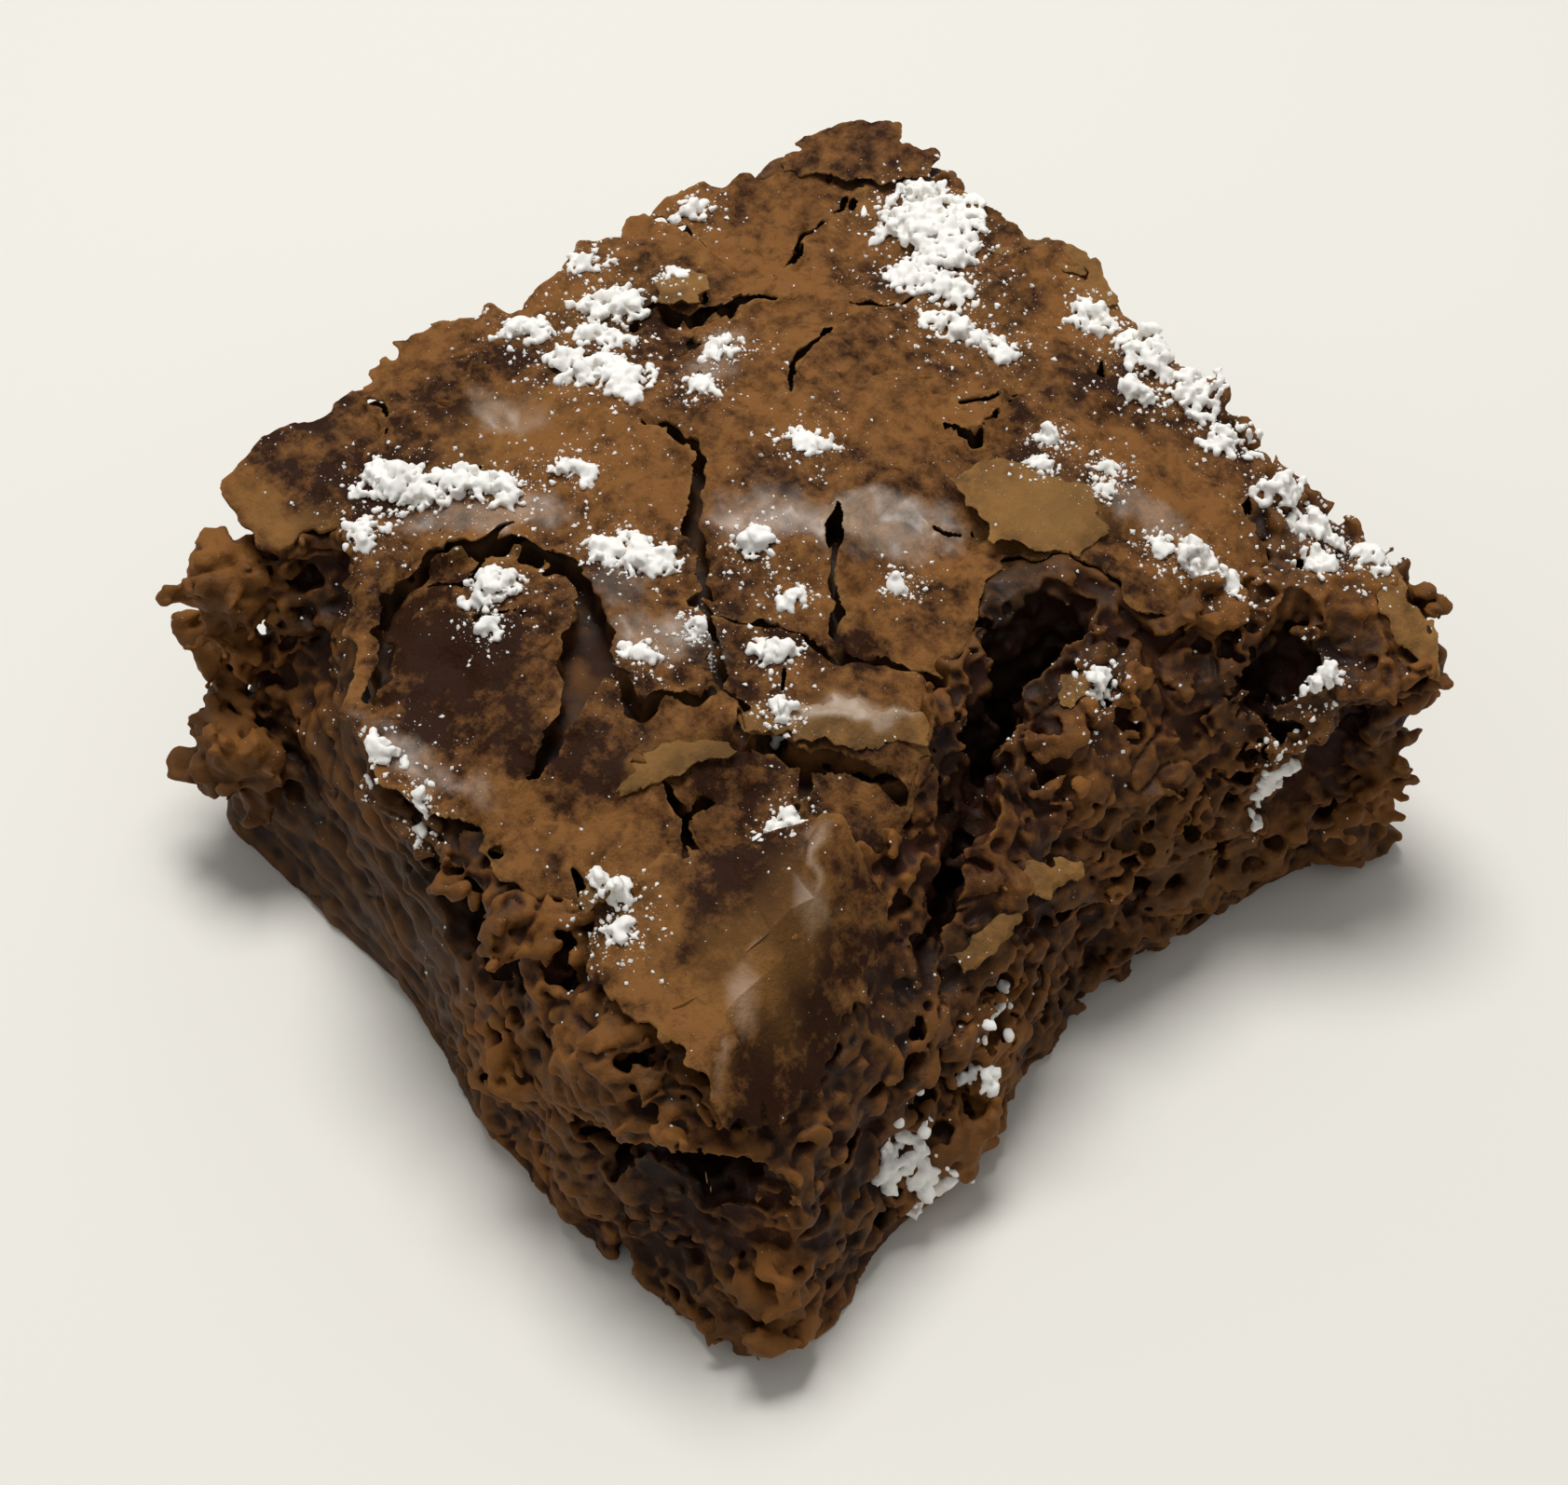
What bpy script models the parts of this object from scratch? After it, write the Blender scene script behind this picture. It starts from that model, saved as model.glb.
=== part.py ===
"""A hand-cut square of chocolate brownie, with a cracked crust over a torn, open crumb.

Everything is in metres, with +Z up. The origin is the middle of the flat underside. The front,
towards -Y, is the side that the knife cut. The right side, towards +X, is the side that was torn.
"""

import math

import bpy
import bmesh
import numpy as np
from mathutils import Matrix, Vector

MM = 0.001

# Driving dimensions of the whole square
CROWN_HEIGHT = 0.0248

# How finely the block is divided
POINTS_AROUND = 96
WALL_RINGS = 9
TOP_RINGS = 13

# How far the crust's top and the walls wander from smooth
RIPPLE_HEIGHT = 0.00045
WALL_RIPPLE = 0.00055

CRUMB_COLOUR = (0.060, 0.022, 0.006, 1.0)
CRUMB_ROUGHNESS = 0.75

# Stations around the square, in millimetres, anticlockwise from the left front corner:
# the foot's x and y, the upper edge's x and y, and the upper edge's height.
STATIONS = [
    (-24.8, -24.8, -25.4, -20.6, 21.6),
    (-20.5, -26.1, -21.6, -22.6, 20.6),
    (-14.5, -26.0, -14.8, -22.2, 21.0),
    (-7.7, -25.7, -9.0, -23.9, 21.6),
    (-3.3, -26.0, -3.4, -25.4, 21.0),
    (3.6, -28.0, 4.0, -26.8, 19.6),
    (9.8, -28.7, 10.0, -27.2, 18.4),
    (15.0, -28.9, 15.5, -27.6, 17.6),
    (20.5, -28.2, 20.5, -27.2, 17.0),
    (25.2, -26.2, 24.4, -25.4, 16.4),
    (28.0, -22.6, 25.6, -21.4, 16.2),
    (26.6, -15.7, 24.6, -15.4, 17.4),
    (25.2, -9.0, 22.8, -9.2, 19.2),
    (23.0, -1.1, 20.0, -1.0, 20.0),
    (22.2, 6.0, 18.6, 6.0, 20.2),
    (22.0, 14.0, 20.6, 14.0, 19.6),
    (23.4, 20.6, 24.8, 20.4, 18.0),
    (24.8, 25.6, 26.6, 25.2, 18.2),
    (19.8, 27.0, 20.8, 26.9, 19.6),
    (10.2, 26.6, 11.0, 26.9, 22.4),
    (0.0, 26.6, 0.2, 27.9, 23.8),
    (-10.0, 26.6, -10.0, 27.7, 24.2),
    (-19.2, 26.4, -19.6, 27.6, 24.4),
    (-25.4, 24.6, -25.6, 25.8, 24.0),
    (-26.6, 17.0, -27.4, 17.0, 23.8),
    (-26.9, 8.0, -28.1, 8.0, 23.6),
    (-26.8, -2.0, -28.1, -2.0, 23.4),
    (-26.5, -11.5, -27.9, -11.8, 23.0),
    (-26.2, -20.0, -27.2, -17.8, 22.2),
]

# The middle of the top, and its height, in millimetres
CROWN_POINT = (-3.0, 1.5)


def clear_scene():
    for thing in list(bpy.data.objects):
        bpy.data.objects.remove(thing, do_unlink=True)


def brownie_material():
    material = bpy.data.materials.new("baked chocolate crumb")
    material.use_nodes = True
    shader = material.node_tree.nodes["Principled BSDF"]
    shader.inputs["Base Color"].default_value = CRUMB_COLOUR
    shader.inputs["Roughness"].default_value = CRUMB_ROUGHNESS
    shader.inputs["Metallic"].default_value = 0.0
    return material


def add_object(name, bm):
    mesh = bpy.data.meshes.new(name)
    bmesh.ops.recalc_face_normals(bm, faces=bm.faces)
    bm.to_mesh(mesh)
    bm.free()
    thing = bpy.data.objects.new(name, mesh)
    bpy.context.scene.collection.objects.link(thing)
    return thing


def round_loop(points, count):
    """A smooth closed curve through the points: a Catmull-Rom spline read at even steps."""
    points = np.array(points, float)
    place = np.linspace(0.0, len(points), count, endpoint=False)
    first = place.astype(int)
    t = (place - first)[:, None]
    before, here, after, beyond = [points[(first + k) % len(points)] for k in (-1, 0, 1, 2)]
    return 0.5 * (
        2.0 * here
        + (after - before) * t
        + (2.0 * before - 5.0 * here + 4.0 * after - beyond) * t**2
        + (3.0 * here - before - 3.0 * after + beyond) * t**3
    )


def ripple(x, y, z, size):
    """Uneven lumps of about the given size, between -1 and 1: sines that cross at odd angles."""
    a = np.sin((x + 0.63 * y) / size + 1.7) * np.cos((y - 0.41 * z) / (0.83 * size) + 0.4)
    b = np.sin((0.72 * x - y) / (0.57 * size) + 3.1) * np.cos((z + 0.37 * x) / (0.71 * size))
    return 0.6 * a + 0.4 * b


def make_block():
    """Rings of points up the wall, then inwards over the top, joined into one closed skin."""
    stations = np.array(STATIONS)
    loop = round_loop(stations, POINTS_AROUND) * MM
    foot, edge, edge_z = loop[:, 0:2], loop[:, 2:4], loop[:, 4]
    crown = np.array(CROWN_POINT) * MM
    outward = foot / np.linalg.norm(foot, axis=1)[:, None]
    rings = []
    for k in range(WALL_RINGS):
        t = k / WALL_RINGS
        level = t * edge_z
        centre_line = foot + (edge - foot) * t**1.6
        swell = math.sin(math.pi * t) * WALL_RIPPLE
        push = swell * (0.4 + 1.1 * ripple(foot[:, 0], foot[:, 1], level, 2.6 * MM))
        place = centre_line + outward * push[:, None]
        rings.append(np.column_stack([place, level]))
    for k in range(TOP_RINGS):
        s = 1.0 - k / TOP_RINGS
        place = crown + (edge - crown) * s
        rise = CROWN_HEIGHT - (CROWN_HEIGHT - edge_z) * s**2.2
        wave = RIPPLE_HEIGHT * ripple(place[:, 0], place[:, 1], 0.0 * rise, 4.2 * MM)
        rings.append(np.column_stack([place, rise + wave * min(1.0, 3.0 * (1.0 - s) + 0.3)]))
    bm = bmesh.new()
    rows = [[bm.verts.new(point) for point in ring] for ring in rings]
    peak = bm.verts.new((crown[0], crown[1], CROWN_HEIGHT))
    for lower, upper in zip(rows, rows[1:]):
        for k in range(POINTS_AROUND):
            n = (k + 1) % POINTS_AROUND
            bm.faces.new((lower[k], lower[n], upper[n], upper[k]))
    for k in range(POINTS_AROUND):
        bm.faces.new((rows[-1][k], rows[-1][(k + 1) % POINTS_AROUND], peak))
    bm.faces.new(list(reversed(rows[0])))
    return add_object("brownie", bm)


def lump(place, size, turn=0.0, lean=0.0, detail=3):
    """A rough ball: an icosphere, stretched, turned and dented."""
    bm = bmesh.new()
    bmesh.ops.create_icosphere(bm, subdivisions=detail, radius=1.0)
    frame = Matrix.Rotation(math.radians(turn), 4, "Z") @ Matrix.Rotation(math.radians(lean), 4, "Y")
    for vert in bm.verts:
        dent = 1.0 + 0.14 * float(ripple(vert.co.x * 9.0, vert.co.y * 9.0, vert.co.z * 9.0 + place[0], 2.3))
        local = Vector([vert.co[k] * size[k] * 0.5 * dent for k in range(3)])
        vert.co = (frame @ local + Vector(place)) * MM
    return add_object("lump", bm)


def wedge(path, depth_below, top=34.0):
    """A slot that narrows downwards: path gives x, y and half the width at the top and bottom."""
    bm = bmesh.new()
    rows = []
    for k, (x, y, wide, narrow) in enumerate(path):
        before = path[max(k - 1, 0)]
        after = path[min(k + 1, len(path) - 1)]
        along = Vector((after[0] - before[0], after[1] - before[1])).normalized()
        side = Vector((-along.y, along.x))
        floor = depth_below[k]
        corners = []
        for reach, level in ((-wide, top), (-narrow, floor), (narrow, floor), (wide, top)):
            corners.append(bm.verts.new(Vector((x + side.x * reach, y + side.y * reach, level)) * MM))
        rows.append(corners)
    for near, far in zip(rows, rows[1:]):
        for k in range(4):
            n = (k + 1) % 4
            bm.faces.new((near[k], near[n], far[n], far[k]))
    bm.faces.new(rows[0])
    bm.faces.new(list(reversed(rows[-1])))
    return add_object("slot", bm)


def slab(corners, thickness, name="flake"):
    """A bent flake of crust: a fan of faces over the given corners, thickened downwards."""
    bm = bmesh.new()
    upper = [bm.verts.new(Vector(corner) * MM) for corner in corners]
    lower = [bm.verts.new((Vector(corner) - Vector((0.0, 0.0, thickness))) * MM) for corner in corners]
    middle = sum((Vector(corner) for corner in corners), Vector()) / len(corners)
    top_middle = bm.verts.new(middle * MM)
    low_middle = bm.verts.new((middle - Vector((0.0, 0.0, thickness))) * MM)
    count = len(corners)
    for k in range(count):
        n = (k + 1) % count
        bm.faces.new((upper[k], upper[n], top_middle))
        bm.faces.new((lower[n], lower[k], low_middle))
        bm.faces.new((lower[k], lower[n], upper[n], upper[k]))
    return add_object(name, bm)


def combine(block, tool, operation):
    """A Boolean on the block; the tool stays behind as a hidden wire guide."""
    tool.hide_render = True
    tool.display_type = "WIRE"
    modifier = block.modifiers.new(tool.name, "BOOLEAN")
    modifier.operation = operation
    modifier.solver = "EXACT"
    modifier.use_self = True
    modifier.object = tool


# The knife drag left terraces of crumb below the cut-back crust at the left of the front.
TERRACES = [
    ((-19.6, -24.4, 13.6), (13.0, 5.4, 9.0), 6.0, 0.0),
    ((-23.6, -22.6, 17.0), (7.4, 6.4, 5.6), 30.0, 10.0),
    ((-24.2, -23.6, 11.8), (7.0, 6.0, 5.2), 10.0, 0.0),
    ((-20.4, -25.0, 7.0), (9.0, 5.4, 5.4), 0.0, 0.0),
    ((-14.6, -23.8, 16.4), (9.4, 4.6, 4.6), -6.0, 0.0),
]

# Torn knobs of crumb on the right side and its back corner
KNOBS = [
    ((23.6, 22.6, 11.6), (9.6, 11.0, 15.0), 20.0, 0.0),
    ((22.4, 14.6, 12.0), (8.4, 11.0, 11.4), -10.0, 12.0),
    ((20.8, 4.6, 12.6), (7.4, 13.0, 13.4), 0.0, 10.0),
    ((18.0, 6.6, 17.6), (5.0, 14.0, 7.0), -8.0, 0.0),
    ((23.0, -3.6, 6.6), (6.6, 12.0, 10.4), 0.0, 0.0),
    ((24.8, -13.0, 5.4), (6.0, 8.4, 8.4), 0.0, 0.0),
]

# Holes: the hollow under the crust beside the torn part, the hole behind it, the hollows under the
# drooping flake and the slit under the front lip.
HOLES = [
    ((12.8, 7.0, 19.6), (5.4, 9.6, 12.0), -36.0, 0.0),
    ((20.8, 17.6, 18.8), (4.0, 5.6, 9.0), 20.0, 0.0),
    ((4.2, -27.6, 14.4), (8.4, 4.6, 3.4), -6.0, 0.0),
    ((22.2, -27.0, 12.2), (8.6, 5.0, 4.4), 24.0, 0.0),
    ((22.4, 3.4, 12.4), (4.4, 2.8, 3.0), 0.0, 0.0),
    ((0.4, -24.8, 18.4), (9.0, 5.0, 1.6), -10.0, 0.0),
]

# The cleft between the near block and the torn part: x, y, half its width at the top and at the foot
CLEFT = [
    (11.0, 9.4, 1.4, 0.5),
    (14.6, 2.8, 2.4, 0.7),
    (17.6, -2.6, 2.4, 0.7),
    (20.6, -7.6, 2.0, 0.7),
    (24.6, -13.0, 2.2, 1.0),
]
CLEFT_FLOOR = [14.0, 7.0, 6.0, 9.5, 15.0]

# The wide gap in the crust at the left of the front, and the long crack over the top
GAPS = [
    ([(-14.6, -18.2, 0.3, 0.2), (-10.4, -13.8, 0.9, 0.5), (-4.6, -12.0, 1.1, 0.6), (1.2, -15.8, 0.9, 0.5),
      (3.0, -19.4, 0.3, 0.2)], [22.6, 21.4, 21.0, 21.4, 21.8]),
    ([(-9.6, 2.4, 0.2, 0.15), (-4.2, 1.8, 0.5, 0.3), (-1.2, -3.6, 0.5, 0.3), (3.4, -6.4, 0.6, 0.3),
      (8.2, -3.4, 0.6, 0.3), (12.6, 0.6, 0.4, 0.2)], [23.6, 23.0, 23.0, 22.8, 22.6, 21.8]),
    ([(-26.4, 3.6, 0.2, 0.15), (-19.4, 12.4, 0.4, 0.3), (-13.2, 13.6, 0.3, 0.2)], [23.0, 23.2, 23.6]),
]

# Flakes of crust, as corners that go round each one
FLAKES = [
    ("drooping flake", 1.5, [
        (10.6, -19.6, 21.4), (15.8, -13.0, 22.2), (21.4, -15.6, 19.8), (24.8, -20.0, 18.2),
        (24.2, -26.4, 17.4), (20.2, -28.4, 17.6), (15.6, -28.4, 17.8), (11.4, -25.6, 18.8)]),
    ("front lip", 1.3, [
        (-8.6, -24.8, 20.0), (-2.0, -26.6, 20.0), (4.6, -27.4, 19.2), (11.0, -26.0, 19.4),
        (9.4, -22.0, 20.8), (1.0, -20.8, 22.2), (-6.8, -21.6, 22.2)]),
    ("back corner flake", 1.2, [
        (-26.0, 20.2, 23.4), (-26.4, 25.2, 24.4), (-23.6, 27.8, 25.6), (-19.0, 26.9, 24.8),
        (-20.6, 21.4, 23.6)]),
    ("back edge flake", 1.1, [
        (-12.0, 22.6, 23.6), (-11.0, 27.0, 24.4), (-6.2, 28.9, 24.8), (-3.6, 27.4, 24.4),
        (-3.0, 22.8, 23.4)]),
    ("left corner flake", 1.3, [
        (-23.6, -15.2, 22.4), (-27.6, -18.0, 22.8), (-26.6, -21.4, 22.2), (-21.8, -22.9, 21.4),
        (-17.4, -19.4, 21.8)]),
]


def build():
    clear_scene()
    block = make_block()
    for place, size, turn, lean in TERRACES + KNOBS:
        combine(block, lump(place, size, turn, lean), "UNION")
    for name, thickness, corners in FLAKES:
        combine(block, slab(corners, thickness, name), "UNION")
    for place, size, turn, lean in HOLES:
        combine(block, lump(place, size, turn, lean), "DIFFERENCE")
    combine(block, wedge(CLEFT, CLEFT_FLOOR), "DIFFERENCE")
    for path, floor in GAPS:
        combine(block, wedge(path, floor), "DIFFERENCE")
    block.data.materials.append(brownie_material())
    return block


build()
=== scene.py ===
import math

import bpy
import numpy as np
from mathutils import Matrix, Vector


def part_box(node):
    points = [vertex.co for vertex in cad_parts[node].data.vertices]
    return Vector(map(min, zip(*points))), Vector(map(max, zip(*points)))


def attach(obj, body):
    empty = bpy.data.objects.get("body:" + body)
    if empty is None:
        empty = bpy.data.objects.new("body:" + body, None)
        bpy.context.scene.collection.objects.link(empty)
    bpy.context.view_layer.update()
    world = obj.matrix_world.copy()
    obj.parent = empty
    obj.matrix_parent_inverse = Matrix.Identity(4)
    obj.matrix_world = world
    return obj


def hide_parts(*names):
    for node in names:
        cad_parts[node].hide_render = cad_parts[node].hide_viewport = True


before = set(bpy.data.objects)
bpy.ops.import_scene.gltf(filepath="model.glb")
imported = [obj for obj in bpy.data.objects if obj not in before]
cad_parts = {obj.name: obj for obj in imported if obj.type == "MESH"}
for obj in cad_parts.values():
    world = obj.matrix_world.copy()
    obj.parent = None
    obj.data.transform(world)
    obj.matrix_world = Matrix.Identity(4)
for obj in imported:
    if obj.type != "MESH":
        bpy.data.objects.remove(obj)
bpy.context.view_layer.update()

import openvdb
from mathutils import Vector
from mathutils.bvhtree import BVHTree

mm = 0.001
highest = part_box("brownie")[1][2] / mm + 0.5   # crust and sugar stand no higher than this
mostTriangles = 194000   # a piece with more is thinned

# The brownie is about 57 by 58 by 25 mm. Lengths below are millimetres from the middle of its underside.


def linear(code):   # sRGB hex to linear colour
    parts = [int(code[k:k + 2], 16) / 255 for k in (1, 3, 5)]
    return tuple(p / 12.92 if p <= 0.04045 else ((p + 0.055) / 1.055) ** 2.4 for p in parts) + (1.0,)


def setInputs(tree, thing, values):   # an input takes a value, or a link when it is given a socket
    for key, value in values.items():
        if isinstance(value, bpy.types.NodeSocket):
            tree.links.new(value, thing.inputs[key])
        else:
            thing.inputs[key].default_value = value


def node(tree, kind, settings=None, **links):   # adds a node with its settings and its links
    new = tree.nodes.new(kind)
    for key, value in (settings or {}).items():
        if isinstance(key, int) or key in new.inputs:
            setInputs(tree, new, {key: value})
        else:
            setattr(new, key, value)
    setInputs(tree, new, links)
    return new


def splineWeights(places, step):   # cubic B-spline weight of each lattice point at each place
    t = np.asarray(places, float) / step
    first = np.floor(t).astype(int)
    f = t - first
    four = np.stack([(1 - f)**3, 3 * f**3 - 6 * f**2 + 4, -3 * f**3 + 3 * f**2 + 3 * f + 1, f**3], 1) / 6
    first = first - first.min()
    table = np.zeros((len(t), first.max() + 4), np.float32)
    for k in range(4):
        table[np.arange(len(t)), first + k] = four[:, k]
    return table


def cloud(axes, steps, seed):   # smooth random field on a grid: random lattice values blended by B-splines
    tables = [splineWeights(axis, step) for axis, step in zip(axes, steps)]
    field = np.random.default_rng(seed).standard_normal([t.shape[1] for t in tables]).astype(np.float32)
    for table in tables:
        field = np.tensordot(field, table, (0, 1))
    return field / field.std()


def smoothLoop(points, perSpan=6):   # closed Catmull-Rom curve through the points
    points = np.array(points, float)
    place = np.arange(len(points) * perSpan) / perSpan
    first = place.astype(int)
    t = (place - first)[:, None]
    a, b, c, d = [points[(first + k) % len(points)] for k in (-1, 0, 1, 2)]
    return 0.5 * (2 * b + (c - a) * t + (2 * a - 5 * b + 4 * c - d) * t**2 + (3 * b - a - 3 * c + d) * t**3)


def outlineDistance(x, y, corners):   # distance to a closed outline, negative inside it
    corners = np.asarray(corners, float)
    best = np.full(np.broadcast(x, y).shape, 1e9)
    inside = np.zeros(best.shape, bool)
    for p, q in zip(corners, np.roll(corners, -1, 0)):
        e = q - p
        t = np.clip(((x - p[0]) * e[0] + (y - p[1]) * e[1]) / (e @ e), 0, 1)
        best = np.minimum(best, (x - p[0] - t * e[0])**2 + (y - p[1] - t * e[1])**2)
        if p[1] != q[1]:
            inside ^= ((p[1] > y) != (q[1] > y)) & (x < e[0] * (y - p[1]) / e[1] + p[0])
    best = np.sqrt(best)
    return np.where(inside, -best, best)


def chainDistance(x, y, chain):   # distance to an open chain, less the half gap that runs along it
    best = np.full(np.broadcast(x, y).shape, 1e9)
    for p, q in zip(chain, chain[1:]):
        ex, ey = q[0] - p[0], q[1] - p[1]
        t = np.clip(((x - p[0]) * ex + (y - p[1]) * ey) / (ex * ex + ey * ey), 0, 1)
        reach = np.hypot(x - p[0] - t * ex, y - p[1] - t * ey)
        best = np.minimum(best, reach - (p[2] + (q[2] - p[2]) * t))
    return best


def bendThrough(x, y, points, slack=0.02):   # thin-plate surface: a plane plus r*r*log(r) about each point
    points = np.array(points, float)
    def kernel(r2):
        return 0.5 * r2 * np.log(r2 + 1e-9)
    px, py, pz = points.T
    n = len(points)
    system = np.zeros((n + 3, n + 3))
    system[:n, :n] = kernel((px[:, None] - px)**2 + (py[:, None] - py)**2) + slack * 30 * np.eye(n)
    system[:n, n:] = np.column_stack([np.ones(n), px, py])
    system[n:, :n] = system[:n, n:].T
    weights = np.linalg.solve(system, np.concatenate([pz, np.zeros(3)]))
    surface = weights[n] + weights[n + 1] * x + weights[n + 2] * y
    for k in range(n):
        surface = surface + weights[k] * kernel((x - px[k])**2 + (y - py[k])**2)
    return surface


def smoothMax(a, b, blend):   # the larger of two fields, with its edge rounded over the blend
    h = np.clip(0.5 + 0.5 * (a - b) / blend, 0, 1)
    return b + (a - b) * h + blend * h * (1 - h)


def ramp(value, start, end):   # eased step from 0 to 1
    t = np.clip((value - start) / (end - start), 0, 1)
    return t * t * (3 - 2 * t)


# The plan: maps of the top on one fine grid, read anywhere by blending between cells
# Points that the top passes through: x, y, height
topPoints = [
    (-25.5, 26.0, 24.4), (-27.0, 17.0, 24.2), (-27.5, 8.0, 24.0), (-27.5, -2.0, 23.7), (-27.3, -12.0, 23.2),
    (-26.2, -20.4, 22.4), (-15.0, 26.5, 24.6), (-5.0, 27.4, 24.4), (5.0, 27.2, 23.8), (10.5, 26.2, 23.0),
    (-15.0, 15.0, 25.0), (-5.0, 15.0, 25.1), (5.0, 17.0, 24.4), (11.0, 19.0, 23.3), (14.6, 14.6, 22.6),
    (-18.0, 0.0, 24.6), (-8.0, 3.0, 25.2), (1.0, 6.5, 25.0), (7.4, 9.4, 24.2), (-20.0, -13.0, 23.6),
    (-12.0, -9.5, 24.2), (-4.6, -4.0, 24.9), (1.6, 1.0, 24.8), (6.5, 5.0, 24.2), (3.0, -4.6, 23.6),
    (9.6, 0.6, 23.4), (-21.8, -21.0, 21.8), (-14.8, -19.4, 22.0), (-9.4, -22.8, 21.8), (-3.4, -25.0, 21.3),
    (4.0, -24.6, 20.9), (-8.0, -16.0, 23.2), (0.0, -14.5, 23.3), (7.0, -10.5, 23.1), (11.2, -6.0, 23.0),
    (14.0, -3.6, 22.6), (2.0, -20.0, 21.8), (8.0, -16.5, 21.6), (13.0, -10.0, 21.7), (16.0, -7.6, 21.2),
    (11.0, -21.5, 19.8), (17.0, -14.5, 19.9), (14.0, -24.5, 18.0), (19.5, -20.0, 17.6), (20.0, -25.6, 15.6),
    (23.4, -24.0, 14.6), (24.4, -18.0, 14.6), (22.4, -14.0, 16.0), (20.4, -10.2, 16.6), (26.5, -22.0, 12.0),
    (17.2, 1.0, 21.0), (15.8, 6.0, 22.3), (16.0, 11.4, 21.8), (20.6, 1.0, 16.6), (20.4, 8.0, 17.4),
    (19.6, 13.0, 19.2), (23.6, 9.0, 12.5), (23.0, 15.0, 16.8), (18.5, 21.0, 20.6), (23.8, 19.5, 18.2),
    (20.5, 25.4, 20.2), (26.0, 24.2, 17.8), (22.0, -3.0, 16.2), (22.0, -8.0, 14.0), (19.2, -3.4, 18.6),
    (25.4, -10.5, 9.0), (25.0, -1.0, 8.0),
]

crustSetup = {
    "cell": 0.19,
    "thickness": 0.55,
    "outline": [(-26.4, -20.6), (-24.6, -21.8), (-22.3, -22.2), (-20.8, -20.4), (-20.4, -18.2),
                (-17.4, -18.6), (-14.8, -19.8), (-13.4, -22.0), (-10.0, -23.8), (-7.6, -25.6),
                (-4.6, -26.3), (-1.6, -26.2), (1.8, -25.4), (5.5, -24.7), (9.0, -23.6), (13.0, -21.0),
                (16.8, -14.0), (16.6, -9.0), (15.3, -4.2), (13.4, -2.2), (11.3, 0.6), (10.4, 4.0),
                (9.0, 6.0), (8.6, 7.9), (9.8, 9.7), (10.6, 11.0), (12.8, 11.8), (15.2, 13.2), (15.6, 17.4),
                (16.8, 20.2), (13.6, 22.4), (12.9, 24.4), (10.2, 26.6), (5.0, 28.0), (2.4, 27.4),
                (-1.5, 27.6), (-6.0, 28.2), (-9.4, 27.3), (-12.5, 27.9), (-19.4, 27.9), (-24.4, 27.4),
                (-25.8, 24.0), (-26.0, 20.2), (-27.6, 16.8), (-28.2, 13.0), (-27.5, 10.0), (-27.9, 3.4),
                (-27.2, 1.6), (-28.3, -4.7), (-28.1, -8.7), (-26.9, -12.2), (-27.7, -16.5)],
}

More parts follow.
